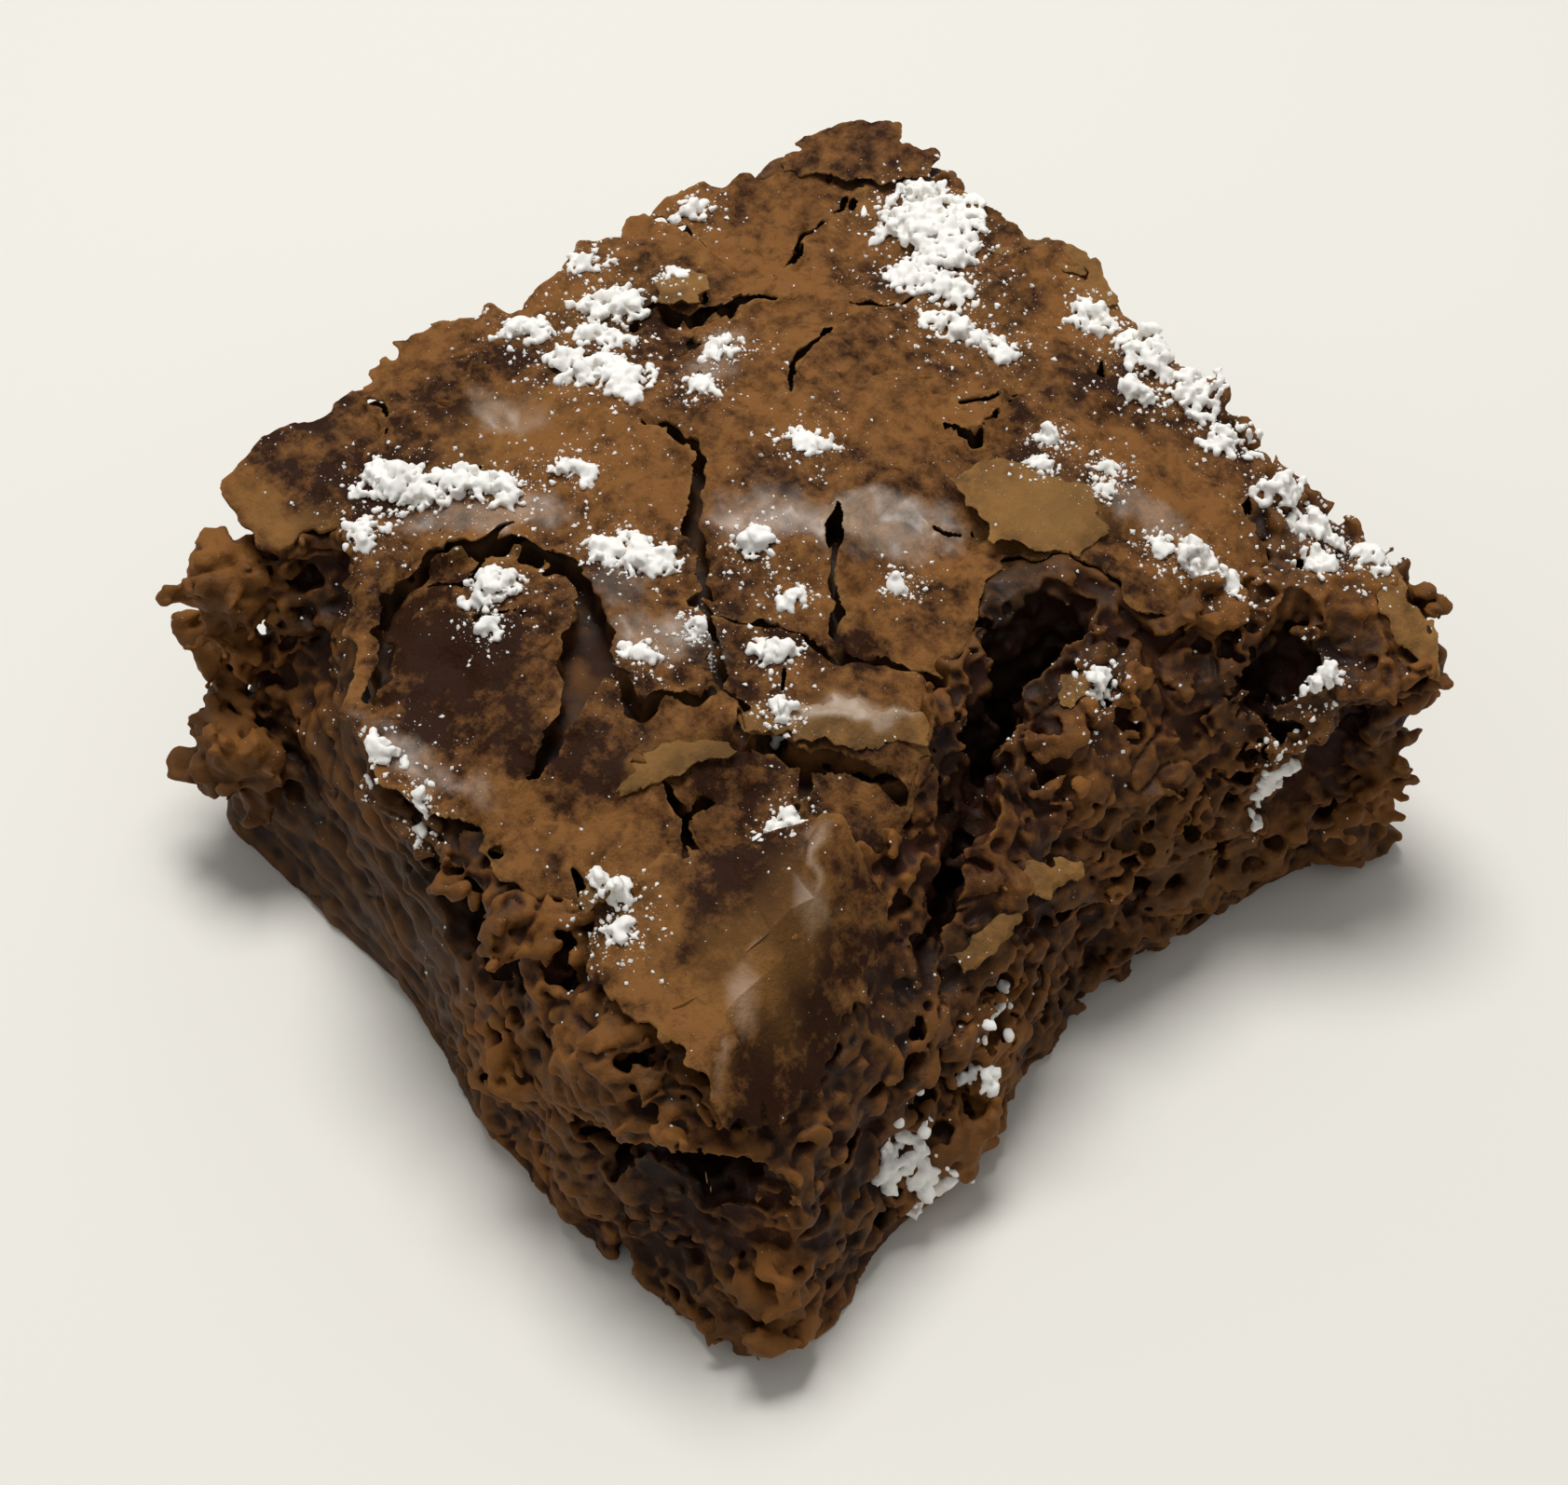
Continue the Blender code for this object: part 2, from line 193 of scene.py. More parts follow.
# Cracks as chains of x, y and half the gap
cracks = [
    [(-27.5, 12.4, 0.30), (-24.6, 12.9, 0.22), (-22.4, 12.5, 0.05)],
    [(-21.0, 23.0, 0.10), (-20.2, 20.4, 0.16), (-19.5, 17.6, 0.24), (-17.9, 14.2, 0.20)],
    [(-20.6, 4.8, 0.05), (-20.3, 7.0, 0.25), (-18.6, 6.6, 0.15), (-17.6, 7.9, 0.32), (-16.8, 10.4, 0.28),
     (-15.2, 12.8, 0.05)],
    [(-21.6, 11.2, 0.03), (-19.4, 9.4, 0.08), (-17.8, 8.0, 0.10)],
    [(-17.2, 6.8, 0.10), (-15.2, 5.6, 0.08), (-13.6, 4.0, 0.03)],
    [(-11.6, 14.0, 0.04), (-10.7, 10.6, 0.20), (-9.7, 7.8, 0.18), (-9.0, 5.8, 0.05)],
    [(-12.8, -0.8, 0.12), (-10.8, -0.1, 0.40), (-8.8, 0.4, 0.26), (-6.8, -1.8, 0.24), (-5.0, -3.4, 0.28),
     (-2.2, -5.3, 0.22), (0.7, -6.9, 0.24), (2.6, -6.2, 0.30), (4.2, -4.2, 0.30), (6.6, -3.8, 0.38),
     (8.0, -3.9, 0.34), (9.2, -1.9, 0.30), (11.8, -0.4, 0.34)],
    [(-4.8, -5.9, 0.05), (-3.4, -4.5, 0.12)],
    [(-0.8, 3.2, 0.03), (0.4, 2.0, 0.34), (4.2, -1.0, 0.10), (7.7, -3.5, 0.14)],
    [(0.9, -7.2, 0.16), (2.6, -8.1, 0.16), (4.6, -10.2, 0.26), (6.4, -10.0, 0.20), (9.0, -11.4, 0.28)],
    [(-13.6, -18.6, 0.28), (-13.0, -16.2, 0.32), (-12.1, -14.3, 0.30), (-10.6, -12.2, 0.40),
     (-8.6, -11.2, 0.30), (-6.4, -10.8, 0.34), (-4.2, -11.6, 0.70), (-2.4, -13.0, 1.25),
     (-0.6, -15.2, 1.15), (0.6, -17.4, 0.60), (1.8, -20.0, 0.30), (2.4, -22.0, 0.05)],
    [(-14.4, -14.2, 0.06), (-12.8, -15.0, 0.14), (-12.1, -14.3, 0.20)],
    [(-13.7, -18.3, 0.28), (-12.0, -20.2, 0.26), (-10.0, -21.7, 0.30), (-8.2, -23.6, 0.36)],
    [(-1.4, -14.4, 0.40), (1.2, -13.8, 0.22), (3.2, -14.2, 0.22), (5.0, -10.8, 0.14)],
    [(8.2, -11.4, 0.30), (9.6, -9.8, 0.26), (11.4, -9.4, 0.36), (13.0, -8.0, 0.30), (15.6, -6.6, 0.24)],
    [(11.6, -9.4, 0.30), (13.2, -10.9, 0.20)],
    [(-25.6, -11.2, 0.26), (-24.0, -11.4, 0.14), (-22.4, -12.0, 0.03)],
    [(0.3, 13.2, 0.20), (0.1, 14.8, 0.16), (-1.2, 17.6, 0.08)],
    [(-3.4, 14.4, 0.12), (-1.8, 16.4, 0.20)],
    [(-1.2, 12.4, 0.22), (0.4, 13.8, 0.20)],
    [(-0.4, 24.0, 0.05), (1.3, 23.1, 0.18)],
    [(5.4, -16.0, 0.14), (8.4, -15.6, 0.20), (11.4, -16.8, 0.16)],
]

planStep = 0.2
planX = np.arange(-31.0, 31.01, planStep)
planY = np.arange(-31.0, 31.01, planStep)
gridX, gridY = np.meshgrid(planX, planY, indexing="ij")


def readPlan(field, x, y):   # a plan map between its grid points, blended from the four nearest
    u = np.clip((x - planX[0]) / planStep, 0, len(planX) - 1.001)
    v = np.clip((y - planY[0]) / planStep, 0, len(planY) - 1.001)
    i, j = u.astype(int), v.astype(int)
    u, v = u - i, v - j
    return ((field[i, j] * (1 - u) + field[i + 1, j] * u) * (1 - v)
            + (field[i, j + 1] * (1 - u) + field[i + 1, j + 1] * u) * v)


def planCloud(step, seed):   # a random field over the plan, with the given lattice step
    return cloud((planX, planY), (step, step), seed)


warpX = 0.40 * planCloud(1.9, 11) + 0.24 * planCloud(0.65, 12)
warpY = 0.40 * planCloud(1.9, 13) + 0.24 * planCloud(0.65, 14)
topHeight = bendThrough(gridX, gridY, topPoints)
crackGap = np.full(gridX.shape, 9.0)
for chain in cracks:
    crackGap = np.minimum(crackGap, chainDistance(gridX + 0.7 * warpX, gridY + 0.7 * warpY, chain))
hairline = np.abs(planCloud(4.0, 33)) * 2.6 + 0.34 - 0.46 * ramp(planCloud(4.4, 34), 0.2, 1.0)
crackGap = np.minimum(crackGap, hairline)
plateSteps = np.zeros(gridX.shape)   # one side of each crack stands higher than the other
for number, chain in enumerate(cracks):
    reach = np.full(gridX.shape, 1e9)
    side = np.zeros(gridX.shape)
    for a, b in zip(chain, chain[1:]):
        ex, ey = b[0] - a[0], b[1] - a[1]
        t = np.clip(((gridX - a[0]) * ex + (gridY - a[1]) * ey) / (ex * ex + ey * ey), 0, 1)
        away = np.hypot(gridX - a[0] - t * ex, gridY - a[1] - t * ey)
        turn = np.sign(ex * (gridY - a[1]) - ey * (gridX - a[0])) * min(1.0, (a[2] + b[2]) / 0.5)
        side = np.where(away < reach, turn, side)
        reach = np.minimum(reach, away)
    plateSteps += (0.34 if number % 3 else -0.34) * side * np.exp(-(reach / 1.8)**1.5)
crustEdge = outlineDistance(gridX + warpX, gridY + warpY, crustSetup["outline"])
crustInside = np.minimum(-crustEdge, crackGap)   # how far a point of the crust is from its nearest edge
blisters = 0.30 * planCloud(5.2, 21) + 0.17 * planCloud(2.3, 22)
blisters = blisters + 0.11 * planCloud(0.95, 23) + 0.065 * planCloud(0.46, 24)
wrinkle = np.exp(-(planCloud(3.0, 25) / 0.09)**2) * ramp(planCloud(6.0, 26), -0.2, 0.8)
wrinkle += 0.5 * np.exp(-(planCloud(1.4, 30) / 0.12)**2) * ramp(planCloud(5.0, 31), 0.0, 1.0)
crustTop = topHeight + 0.95 * blisters - 0.38 * wrinkle + plateSteps
curl = 0.4 * np.exp(-np.clip(crustInside, 0, 9) / 0.9) * ramp(planCloud(3.6, 27), -0.6, 1.2)
crustTop = crustTop + curl


def spotMap(spots):   # soft-edged ellipses on the plan, uneven at their rims
    total = np.zeros(gridX.shape)
    for x, y, wide, long, turn, strength in spots:
        a = math.radians(turn)
        u, v = gridX + 1.2 * warpX - x, gridY + 1.2 * warpY - y
        r = np.hypot((u * math.cos(a) + v * math.sin(a)) / wide, (v * math.cos(a) - u * math.sin(a)) / long)
        total = np.maximum(total, strength * (1 - ramp(r, 0.55, 1.15)))
    return total


# Soft spots on the crust: x, y, two radii, the turn in degrees and the strength
# Tan spots; the first, a thin line along the corner flake's ridge, is a painted highlight
tanSpotsAndRidgeHighlight = [
    (19.6, -18.9, 0.7, 8.6, 22, 1.0), (13.4, -22.4, 3.0, 3.6, 22, 0.25),
    (-22.6, -19.4, 3.0, 2.0, 20, 0.9), (7.4, 12.0, 4.0, 3.2, 40, 0.7), (-20.2, 8.2, 1.8, 1.4, 40, 0.9),
    (10.5, -6.8, 4.2, 1.4, 48, 0.7), (6.4, -15.0, 2.6, 1.2, 60, 0.6), (-18.0, -6.0, 6.0, 3.0, 60, 0.25),
    (-8.0, 20.0, 8.0, 3.0, 0, 0.2), (19.0, -19.0, 3.4, 6.0, 20, 0.5), (-23.0, 4.0, 3.0, 6.0, 0, 0.2),
]
# Painted shade and darker crust: spots that darken the colour, among them the near plates and the corner
# flake's steep right facet
shadeAndDarkSpots = [
    (16.4, -17.6, 3.4, 5.4, 22, 0.55), (23.0, -21.0, 2.6, 6.0, 22, 0.9),
    (22.0, -18.0, 2.6, 6.0, 20, 0.6), (11.0, -15.0, 4.0, 2.6, 50, 0.5), (-23.0, -6.0, 3.0, 4.0, 0, 0.4),
    (-6.0, -20.0, 7.0, 3.0, 10, 0.5), (8.6, 3.0, 2.0, 3.0, 40, 0.4), (-9.0, -18.0, 5.0, 4.4, 30, 0.9),
    (-20.0, -14.5, 3.4, 2.4, 40, 0.5), (3.4, -9.0, 3.0, 2.6, 0, 0.5), (6.5, -3.6, 4.0, 2.6, 45, 0.6),
    (3.0, -19.0, 6.0, 3.0, 20, 0.6), (2.0, 16.0, 3.0, 2.0, 0, 0.5), (11.0, 16.0, 3.0, 4.0, 0, 0.3),
    (9.0, -12.5, 4.0, 2.0, 50, 0.4),
]
# Glossier spots with a clear coat, whose colour also takes a painted pale sheen
glossAndPaintedSheenSpots = [
    (19.4, -18.9, 0.45, 8.2, 22, 0.8), (-19.0, -6.0, 2.6, 1.6, 30, 0.6), (0.4, 2.4, 7.6, 2.3, 48, 1.0),
    (-13.6, -11.8, 5.0, 1.8, 52, 0.7), (11.0, 17.2, 2.4, 1.6, 48, 0.6), (0.6, -10.2, 3.2, 2.2, 40, 0.7),
    (11.6, -5.8, 3.6, 0.9, 48, 1.0), (-14.6, 6.2, 1.8, 2.6, 10, 0.8), (-2.4, -24.0, 5.0, 0.9, 8, 0.6),
    (-4.0, -8.8, 2.6, 2.0, 30, 0.4),
]

tanAndRidgeHighlightMap, shadeAndDarkMap, glossAndPaintedSheenMap = spotMap(tanSpotsAndRidgeHighlight), spotMap(shadeAndDarkSpots), spotMap(glossAndPaintedSheenSpots)


def meshObject(name, points, faces, smooth=True, attributes=None, sharp=None):
    # points in mm; faces as rows of 3 or 4; edges bent more than sharp degrees stay sharp
    mesh = bpy.data.meshes.new(name)
    mesh.vertices.add(len(points))
    mesh.vertices.foreach_set("co", (np.asarray(points) * mm).astype(np.float32).ravel())
    counts = np.concatenate([np.full(len(f), f.shape[1]) for f in faces if len(f)])
    loops = np.concatenate([f.ravel() for f in faces if len(f)])
    mesh.loops.add(len(loops))
    mesh.loops.foreach_set("vertex_index", loops.astype(np.int32))
    mesh.polygons.add(len(counts))
    mesh.polygons.foreach_set("loop_start", np.concatenate([[0], np.cumsum(counts)[:-1]]).astype(np.int32))
    mesh.update(calc_edges=True)
    mesh.validate()
    mesh.polygons.foreach_set("use_smooth", np.full(len(mesh.polygons), smooth))
    if sharp:
        mesh.set_sharp_from_angle(angle=math.radians(sharp))
    for key, values in (attributes or {}).items():
        mesh.attributes.new(key, "FLOAT", "POINT").data.foreach_set("value", np.asarray(values, np.float32))
    thing = bpy.data.objects.new(name, mesh)
    bpy.context.scene.collection.objects.link(thing)
    return thing


def fieldMesh(field, start, steps, adaptivity=0.0):   # the surface where a field is zero, negative inside
    grid = openvdb.FloatGrid(background=3.0)
    grid.copyFromArray(np.clip(field, -3, 3).astype(np.float32))
    points, triangles, quads = grid.convertToPolygons(isovalue=0.0, adaptivity=adaptivity)
    points = points.astype(np.float64) * np.array(steps) + np.array(start)
    return points, facingOut(points, triangles.astype(np.int64), quads.astype(np.int64))


def facingOut(points, triangles, quads):
    # turns every face round where the enclosed volume, a sum of corner triple products, comes out negative
    volume = 0.0
    halves = (quads[:, :3], quads[:, (0, 2, 3)]) if len(quads) else ()
    for tri in (triangles, *halves):
        if len(tri):
            a, b, c = points[tri[:, 0]], points[tri[:, 1]], points[tri[:, 2]]
            volume += np.einsum("ij,ij->i", a, np.cross(b, c)).sum()
    if volume < 0:
        triangles, quads = triangles[:, ::-1], quads[:, ::-1]
    return [f for f in (triangles, quads) if len(f)]


def keepShells(points, faces, least):
    # drops loose bits with fewer points than the least; None keeps only the largest. Each point takes the
    # lowest number that reaches it along the edges.
    pairs = np.concatenate([f[:, (k, (k + 1) % f.shape[1])] for f in faces for k in range(f.shape[1])])
    label = np.arange(len(points))
    while True:
        a, b = label[pairs[:, 0]], label[pairs[:, 1]]
        lower = np.minimum(a, b)
        new = label.copy()
        np.minimum.at(new, a, lower)
        np.minimum.at(new, b, lower)
        new = new[new]
        if np.array_equal(new, label):
            break
        label = new
    sizes = np.bincount(label, minlength=len(points))
    keep = (sizes[label] == sizes.max()) if least is None else (sizes[label] >= least)
    renumber = np.cumsum(keep) - 1
    return points[keep], [renumber[f[keep[f[:, 0]]]] for f in faces]


crumbSetup = {
    "cell": 0.17,         # grid spacing of the crumb's field
    "foot": [(-23.4, -25.9), (-16.5, -26.1), (-7.7, -25.7), (-3.3, -26.0), (3.6, -28.0), (9.8, -28.7),
             (15.0, -28.9), (20.5, -28.2), (24.8, -26.6), (27.9, -23.6), (28.0, -20.8), (26.2, -15.7),
             (25.0, -9.0), (22.8, -1.1), (21.8, 6.0), (21.7, 14.0), (22.8, 20.8), (24.6, 25.6),
             (19.8, 26.8), (10.2, 26.4), (0.0, 26.4), (-10.0, 26.4), (-19.2, 26.2), (-25.2, 24.4),
             (-26.4, 17.0), (-26.7, 8.0), (-26.6, -2.0), (-26.3, -11.5), (-25.8, -20.0)],
    "rim": [(-25.4, -19.4), (-21.8, -20.6), (-18.2, -18.8), (-14.4, -20.4), (-9.6, -23.2), (-4.5, -25.2),
            (1.5, -26.0), (6.5, -26.4), (11.5, -26.6), (16.5, -27.0), (21.5, -26.8), (24.4, -25.0),
            (25.2, -21.5), (24.4, -15.6), (22.6, -9.4), (20.6, -1.5), (19.8, 6.0), (21.2, 13.5),
            (25.2, 19.0), (27.4, 23.4), (25.4, 26.4), (18.5, 27.0), (11.0, 26.4), (5.0, 27.0), (-5.0, 27.0),
            (-12.0, 27.0), (-19.5, 27.1), (-24.6, 25.4), (-26.4, 19.0), (-27.2, 11.0), (-27.0, 3.0),
            (-27.5, -4.0), (-27.0, -11.0), (-26.6, -16.0)],
    "rimHeight": 20.0,
    "pores": 2600,
    # The crumb is three pieces that meet inside: cut lines as x, y and the way that each part lies
    "parts": {
        "crumbNearBlock": ((-40, -14), (-24, -14), (-6, -6), (9, 6), (13, 4), (16.5, -2), (20.5, -8),
                           (40, -18), (40, -40), (-40, -40)),
        "crumbTornPart": ((9, 6), (13, 4), (16.5, -2), (20.5, -8), (40, -18), (40, 40), (20, 40), (15, 20),
                          (12, 14)),
        "crumbBack": ((-40, -14), (-24, -14), (-6, -6), (9, 6), (12, 14), (15, 20), (20, 40), (-40, 40)),
    },
}

# The cleft and the hollow beside it, seen from above
cleftOutline = [(10.2, 4.4), (11.2, 7.8), (13.0, 9.8), (14.3, 8.8), (14.7, 4.6), (16.0, 0.4), (19.1, -4.6),
                (22.4, -9.8), (22.2, -11.0), (18.6, -7.4), (15.4, -3.0), (12.6, 1.2)]

# The near block's wall, which the cleft's deep slot runs along: x, y and half a gap
cleftWall = [(10.0, 6.6, 0), (10.4, 4.2, 0), (12.6, 1.2, 0), (15.4, -3.0, 0), (18.6, -7.4, 0),
             (22.4, -11.2, 0)]

# Hollows torn in the crumb: place, size and turn about the vertical, in degrees
hollows = [
    ((20.7, 17.6, 18.0), (4.6, 6.4, 10.0), 28.0),
    ((3.4, -25.6, 15.6), (11.6, 7.6, 6.0), 6.0),
    ((4.0, -24.4, 19.9), (8.6, 4.6, 1.5), -4.0),
    ((22.0, -25.6, 11.4), (7.6, 7.0, 4.8), 24.0),
    ((16.8, -26.4, 10.6), (4.2, 5.4, 3.2), 0.0),
    ((22.2, 5.6, 13.4), (3.4, 2.4, 2.6), 0.0),
    ((23.4, -5.6, 9.4), (3.4, 3.2, 2.0), 0.0),
    ((22.4, -1.0, 12.6), (3.4, 3.4, 2.0), 0.0),
    ((23.0, 12.0, 12.6), (3.6, 4.4, 2.2), 0.0),
    ((-16.6, -21.4, 19.4), (5.0, 3.6, 2.6), 14.0),
    ((-12.6, -22.0, 18.4), (2.6, 2.4, 4.0), 0.0),
    ((-22.4, -23.4, 15.6), (4.2, 3.4, 1.6), 10.0),
    ((24.2, -19.0, 10.0), (3.4, 3.8, 2.0), 0.0),
]

# Knobs of crumb that stand out: place and size
knobs = [
    ((-23.6, -23.6, 12.6), (6.4, 5.4, 6.4)),
    ((-20.6, -25.2, 8.2), (7.6, 4.6, 5.6)),
    ((-24.2, -21.6, 17.6), (5.0, 5.6, 4.4)),
    ((4.6, -25.6, 18.4), (9.0, 3.4, 2.2)),
    ((24.4, 23.0, 11.4), (6.0, 7.6, 11.6)),
    ((25.6, -24.4, 4.6), (5.6, 5.6, 7.6)),
]


def makeCrumb():
    # the body is the larger of the wall's distance and the top's, plus layered noise, less the cleft, the
    # hollows and the pores, and joined with the knobs
    s = crumbSetup
    cell = s["cell"]
    axes = [np.arange(-30.4, 30.4, cell), np.arange(-30.6, 30.6, cell), np.arange(-0.9, 27.0, cell)]
    x, y, z = axes[0][:, None], axes[1][None, :], axes[2]
    foot = outlineDistance(x, y, smoothLoop(s["foot"])).astype(np.float32)
    rim = outlineDistance(x, y, smoothLoop(s["rim"])).astype(np.float32)
    px, py = np.broadcast_arrays(x, y)
    crustCover = ramp(-readPlan(crustEdge, px, py), -0.2, 0.8)
    gapDepth = 1.7 * np.exp(-(np.clip(readPlan(crackGap, px, py), 0, 9) / 0.45)**2) * crustCover
    top = readPlan(topHeight + 0.75 * blisters, px, py) - 0.75 * crustCover - gapDepth
    t = np.clip(z / s["rimHeight"], 0, 1)
    stairs = t**1.35 + 0.045 * np.sin(2 * np.pi * 3.2 * t) * np.clip(t * 4, 0, 1)
    side = foot[:, :, None] * (1 - stairs) + rim[:, :, None] * stairs
    lid = z[None, None, :] - top[:, :, None].astype(np.float32)
    smoothBody = smoothMax(side, lid * 0.8, 0.9)
    # how torn each place is: the front is drawn smooth by the knife, the right side is torn open
    torn = np.clip(ramp(x - 0.25 * y, 6.0, 17.0) + 0.55 * ramp(y, 10.0, 24.0) + 0.35 * ramp(-x, 20.0, 26.0)
                   * ramp(y, -18.0, -8.0), 0, 1)[:, :, None]
    leftEnd = (ramp(-x, 13.0, 19.0) * ramp(-y, 14.0, 18.0))[:, :, None] * ramp(z, 8.0, 14.0)
    torn = np.clip(torn + leftEnd, 0, 1).astype(np.float32)
    lid3 = ramp(-lid, 0.0, 1.6).astype(np.float32)   # quiet just below the crust
    big = cloud(axes, (4.4, 4.4, 3.6), 31)
    middle = cloud(axes, (1.7, 1.7, 1.35), 32)
    small = cloud(axes, (0.78, 0.78, 0.66), 33)
    fine = cloud(axes, (0.4, 0.4, 0.36), 34)
    drawn = cloud(axes, (4.6, 2.2, 0.8), 35)   # long in the knife's direction
    drawnFine = cloud(axes, (1.7, 0.9, 0.4), 36)
    # torn crumb is lumps with thin crevices between them; the cut side is smeared in low, flat streaks
    crevice = np.exp(-(cloud(axes, (2.3, 2.3, 1.3), 37) / 0.13)**2) + 0.5 * np.exp(-(middle / 0.12)**2)
    lumps = 0.55 * big + 0.36 * middle + 0.22 * small + 0.125 * fine + 0.5 * crevice - 0.15
    smear = 0.26 * big + 0.16 * (np.abs(drawn) - 0.8) + 0.15 * drawnFine + 0.07 * small + 0.055 * fine
    smear += 0.22 * np.exp(-(cloud(axes, (3.2, 3.2, 0.9), 38) / 0.10)**2)
    rough = torn * lumps + (1 - torn) * smear
    cover = crustCover[:, :, None].astype(np.float32)
    field = smoothBody + rough * (1 - cover * (1 - lid3)) * (0.35 + 0.65 * ramp(z, 0.0, 1.4))
    # the cleft narrows downwards
    uneasyX, uneasyY = x + 0.5 * readPlan(warpX, px, py), y + 0.5 * readPlan(warpY, px, py)
    cleft = outlineDistance(uneasyX, uneasyY, cleftOutline)
    fromWall = chainDistance(x, y, cleftWall)
    floor = 7.0 + 7.5 * ramp(x - y, 22.0, 31.0) + 9.6 * ramp(fromWall, 1.7, 3.0)
    floor -= 6.0 * np.exp(-((x - 12.6)**2 + (y - 8.6)**2) / 2.6)
    carve = cleft[:, :, None] + 0.10 * (20.0 - z) + 0.34 * middle + 0.36 * small + 0.18 * fine
    depthLeft = (floor[:, :, None] - z).astype(np.float32) * 0.7 + 0.6 * middle + 0.5 * small + 0.2 * fine
    carve = smoothMax(carve.astype(np.float32), depthLeft, 0.3)
    field = smoothMax(field, -carve, 0.15)
    for place, size, turn in hollows:
        away = ball(axes, place, size, turn) + 0.5 * middle + 0.44 * small + 0.2 * fine
        field = smoothMax(field, -away, 0.1)
    for place, size in knobs:
        lump = ball(axes, place, size, 0.0) + lumps + 0.14 * small + 0.08 * fine
        field = -smoothMax(-field, -lump, 0.35)
    stampPores(field, axes, s["pores"], torn, smoothBody, 0.3 * small + 0.2 * fine)
    field = np.maximum(field, -z)
    parts = {}
    for name, outline in s["parts"].items():
        apart = outlineDistance(x + 0.8 * readPlan(warpX, px, py), y, outline)[:, :, None]
        piece = np.maximum(field, apart.astype(np.float32) - 0.25)
        points, faces = fieldMesh(piece, [a[0] for a in axes], [cell] * 3, 0.015)
        points, faces = keepShells(points, faces, None)
        points[:, 2] = np.maximum(points[:, 2], 0.0)
        parts[name] = (points, faces)
    return parts, axes, smoothBody, torn


def ball(axes, place, size, turn):   # distance to a stretched ball, roughly, in mm
    a = math.radians(turn)
    x, y, z = axes[0][:, None, None] - place[0], axes[1][None, :, None] - place[1], axes[2] - place[2]
    u = (x * math.cos(a) + y * math.sin(a)) / size[0] * 2
    v = (y * math.cos(a) - x * math.sin(a)) / size[1] * 2
    r = np.sqrt(u * u + v * v + (z / size[2] * 2)**2).astype(np.float32)
    return (r - 1) * (min(size) / 2)


def stampPores(field, axes, count, torn, body, uneven):
    # bubbles of uneven size, cut one by one near the outside: stretched balls, taken from the field
    rng = np.random.default_rng(41)
    cell = axes[0][1] - axes[0][0]
    near = np.argwhere((np.abs(body) < 1.1) & (np.broadcast_to(torn, body.shape) > 0.08))
    near = near[rng.integers(0, len(near), count)]
    radii = 0.26 + 0.8 * rng.random(count)**4
    for (i, j, k), radius in zip(near, radii):
        radius = radius * (0.45 + 0.55 * float(torn[i, j, min(k, torn.shape[2] - 1)]))
        flat = rng.uniform(0.55, 1.0)
        wide = rng.uniform(0.9, 1.7)
        reach = int(math.ceil(radius * wide / cell)) + 2
        sl = tuple(slice(max(c - reach, 0), c + reach + 1) for c in (i, j, k))
        u = axes[0][sl[0]] - axes[0][i]
        v = axes[1][sl[1]] - axes[1][j]
        w = axes[2][sl[2]] - axes[2][k]
        r = np.sqrt((u[:, None, None] / wide)**2 + (v[None, :, None] / wide)**2 + (w / flat)**2)
        field[sl] = np.maximum(field[sl], radius * (1 + uneven[sl]) - r)


def readField(field, axes, points):   # the field's value at each point, from its nearest cell
    index = [np.clip(np.rint((points[:, k] - axes[k][0]) / (axes[k][1] - axes[k][0])).astype(int), 0,
                     field.shape[k] - 1) for k in range(3)]
    return field[tuple(index)]


def crustSheet(edgeAt, heightAt, thickness, box, cell, seed, least=None, raggedness=0.14, adaptivity=0.12):
    # a sheet: inside its outline and within half its thickness of the middle height, meshed flat on a thin
    # grid and then lifted onto the height surface
    xs = np.arange(box[0], box[1], cell)
    ys = np.arange(box[2], box[3], cell)
    ws = np.arange(-0.9, 0.9, 0.15)
    px, py = np.meshgrid(xs, ys, indexing="ij")
    edge = edgeAt(px, py)   # positive inside
    uneven = cloud((xs, ys), (1.3, 1.3), seed)
    half = 0.5 * thickness * (0.45 + 0.55 * ramp(edge, 0.0, 1.3)) * (1 + 0.16 * uneven)
    ragged = raggedness * cloud((xs, ys), (0.42, 0.42), seed + 1)
    within = np.abs(ws)[None, None, :] - half[:, :, None]
    field = smoothMax(within, (ragged - edge)[:, :, None] + 0.0 * ws, 0.06)
    points, faces = fieldMesh(field, (xs[0], ys[0], ws[0]), (cell, cell, 0.15), adaptivity)
    points, faces = keepShells(points, faces, least)
    x, y = points[:, 0], points[:, 1]
    inside = edgeAt(x, y)
    points[:, 2] += heightAt(x, y)
    points[:, 2] = np.minimum(points[:, 2], highest)
    return points, faces, inside


def turnTo(x, y, corners, seed):   # a flake's outline, jittered
    wobble = np.random.default_rng(seed).uniform(0, 6.28, 4)
    x, y = x + 0.5 * readPlan(warpX, x, y), y + 0.5 * readPlan(warpY, x, y)
    jx = 0.16 * np.sin(2.1 * x + 1.3 * y + wobble[0]) + 0.09 * np.sin(5.3 * y - 3.1 * x + wobble[1])
    jy = 0.16 * np.sin(1.7 * y - 2.2 * x + wobble[2]) + 0.09 * np.sin(4.7 * x + 3.7 * y + wobble[3])
    return -outlineDistance(x + jx, y + jy, corners)


def triangleCount(faces):
    return sum(len(f) * (f.shape[1] - 2) for f in faces)


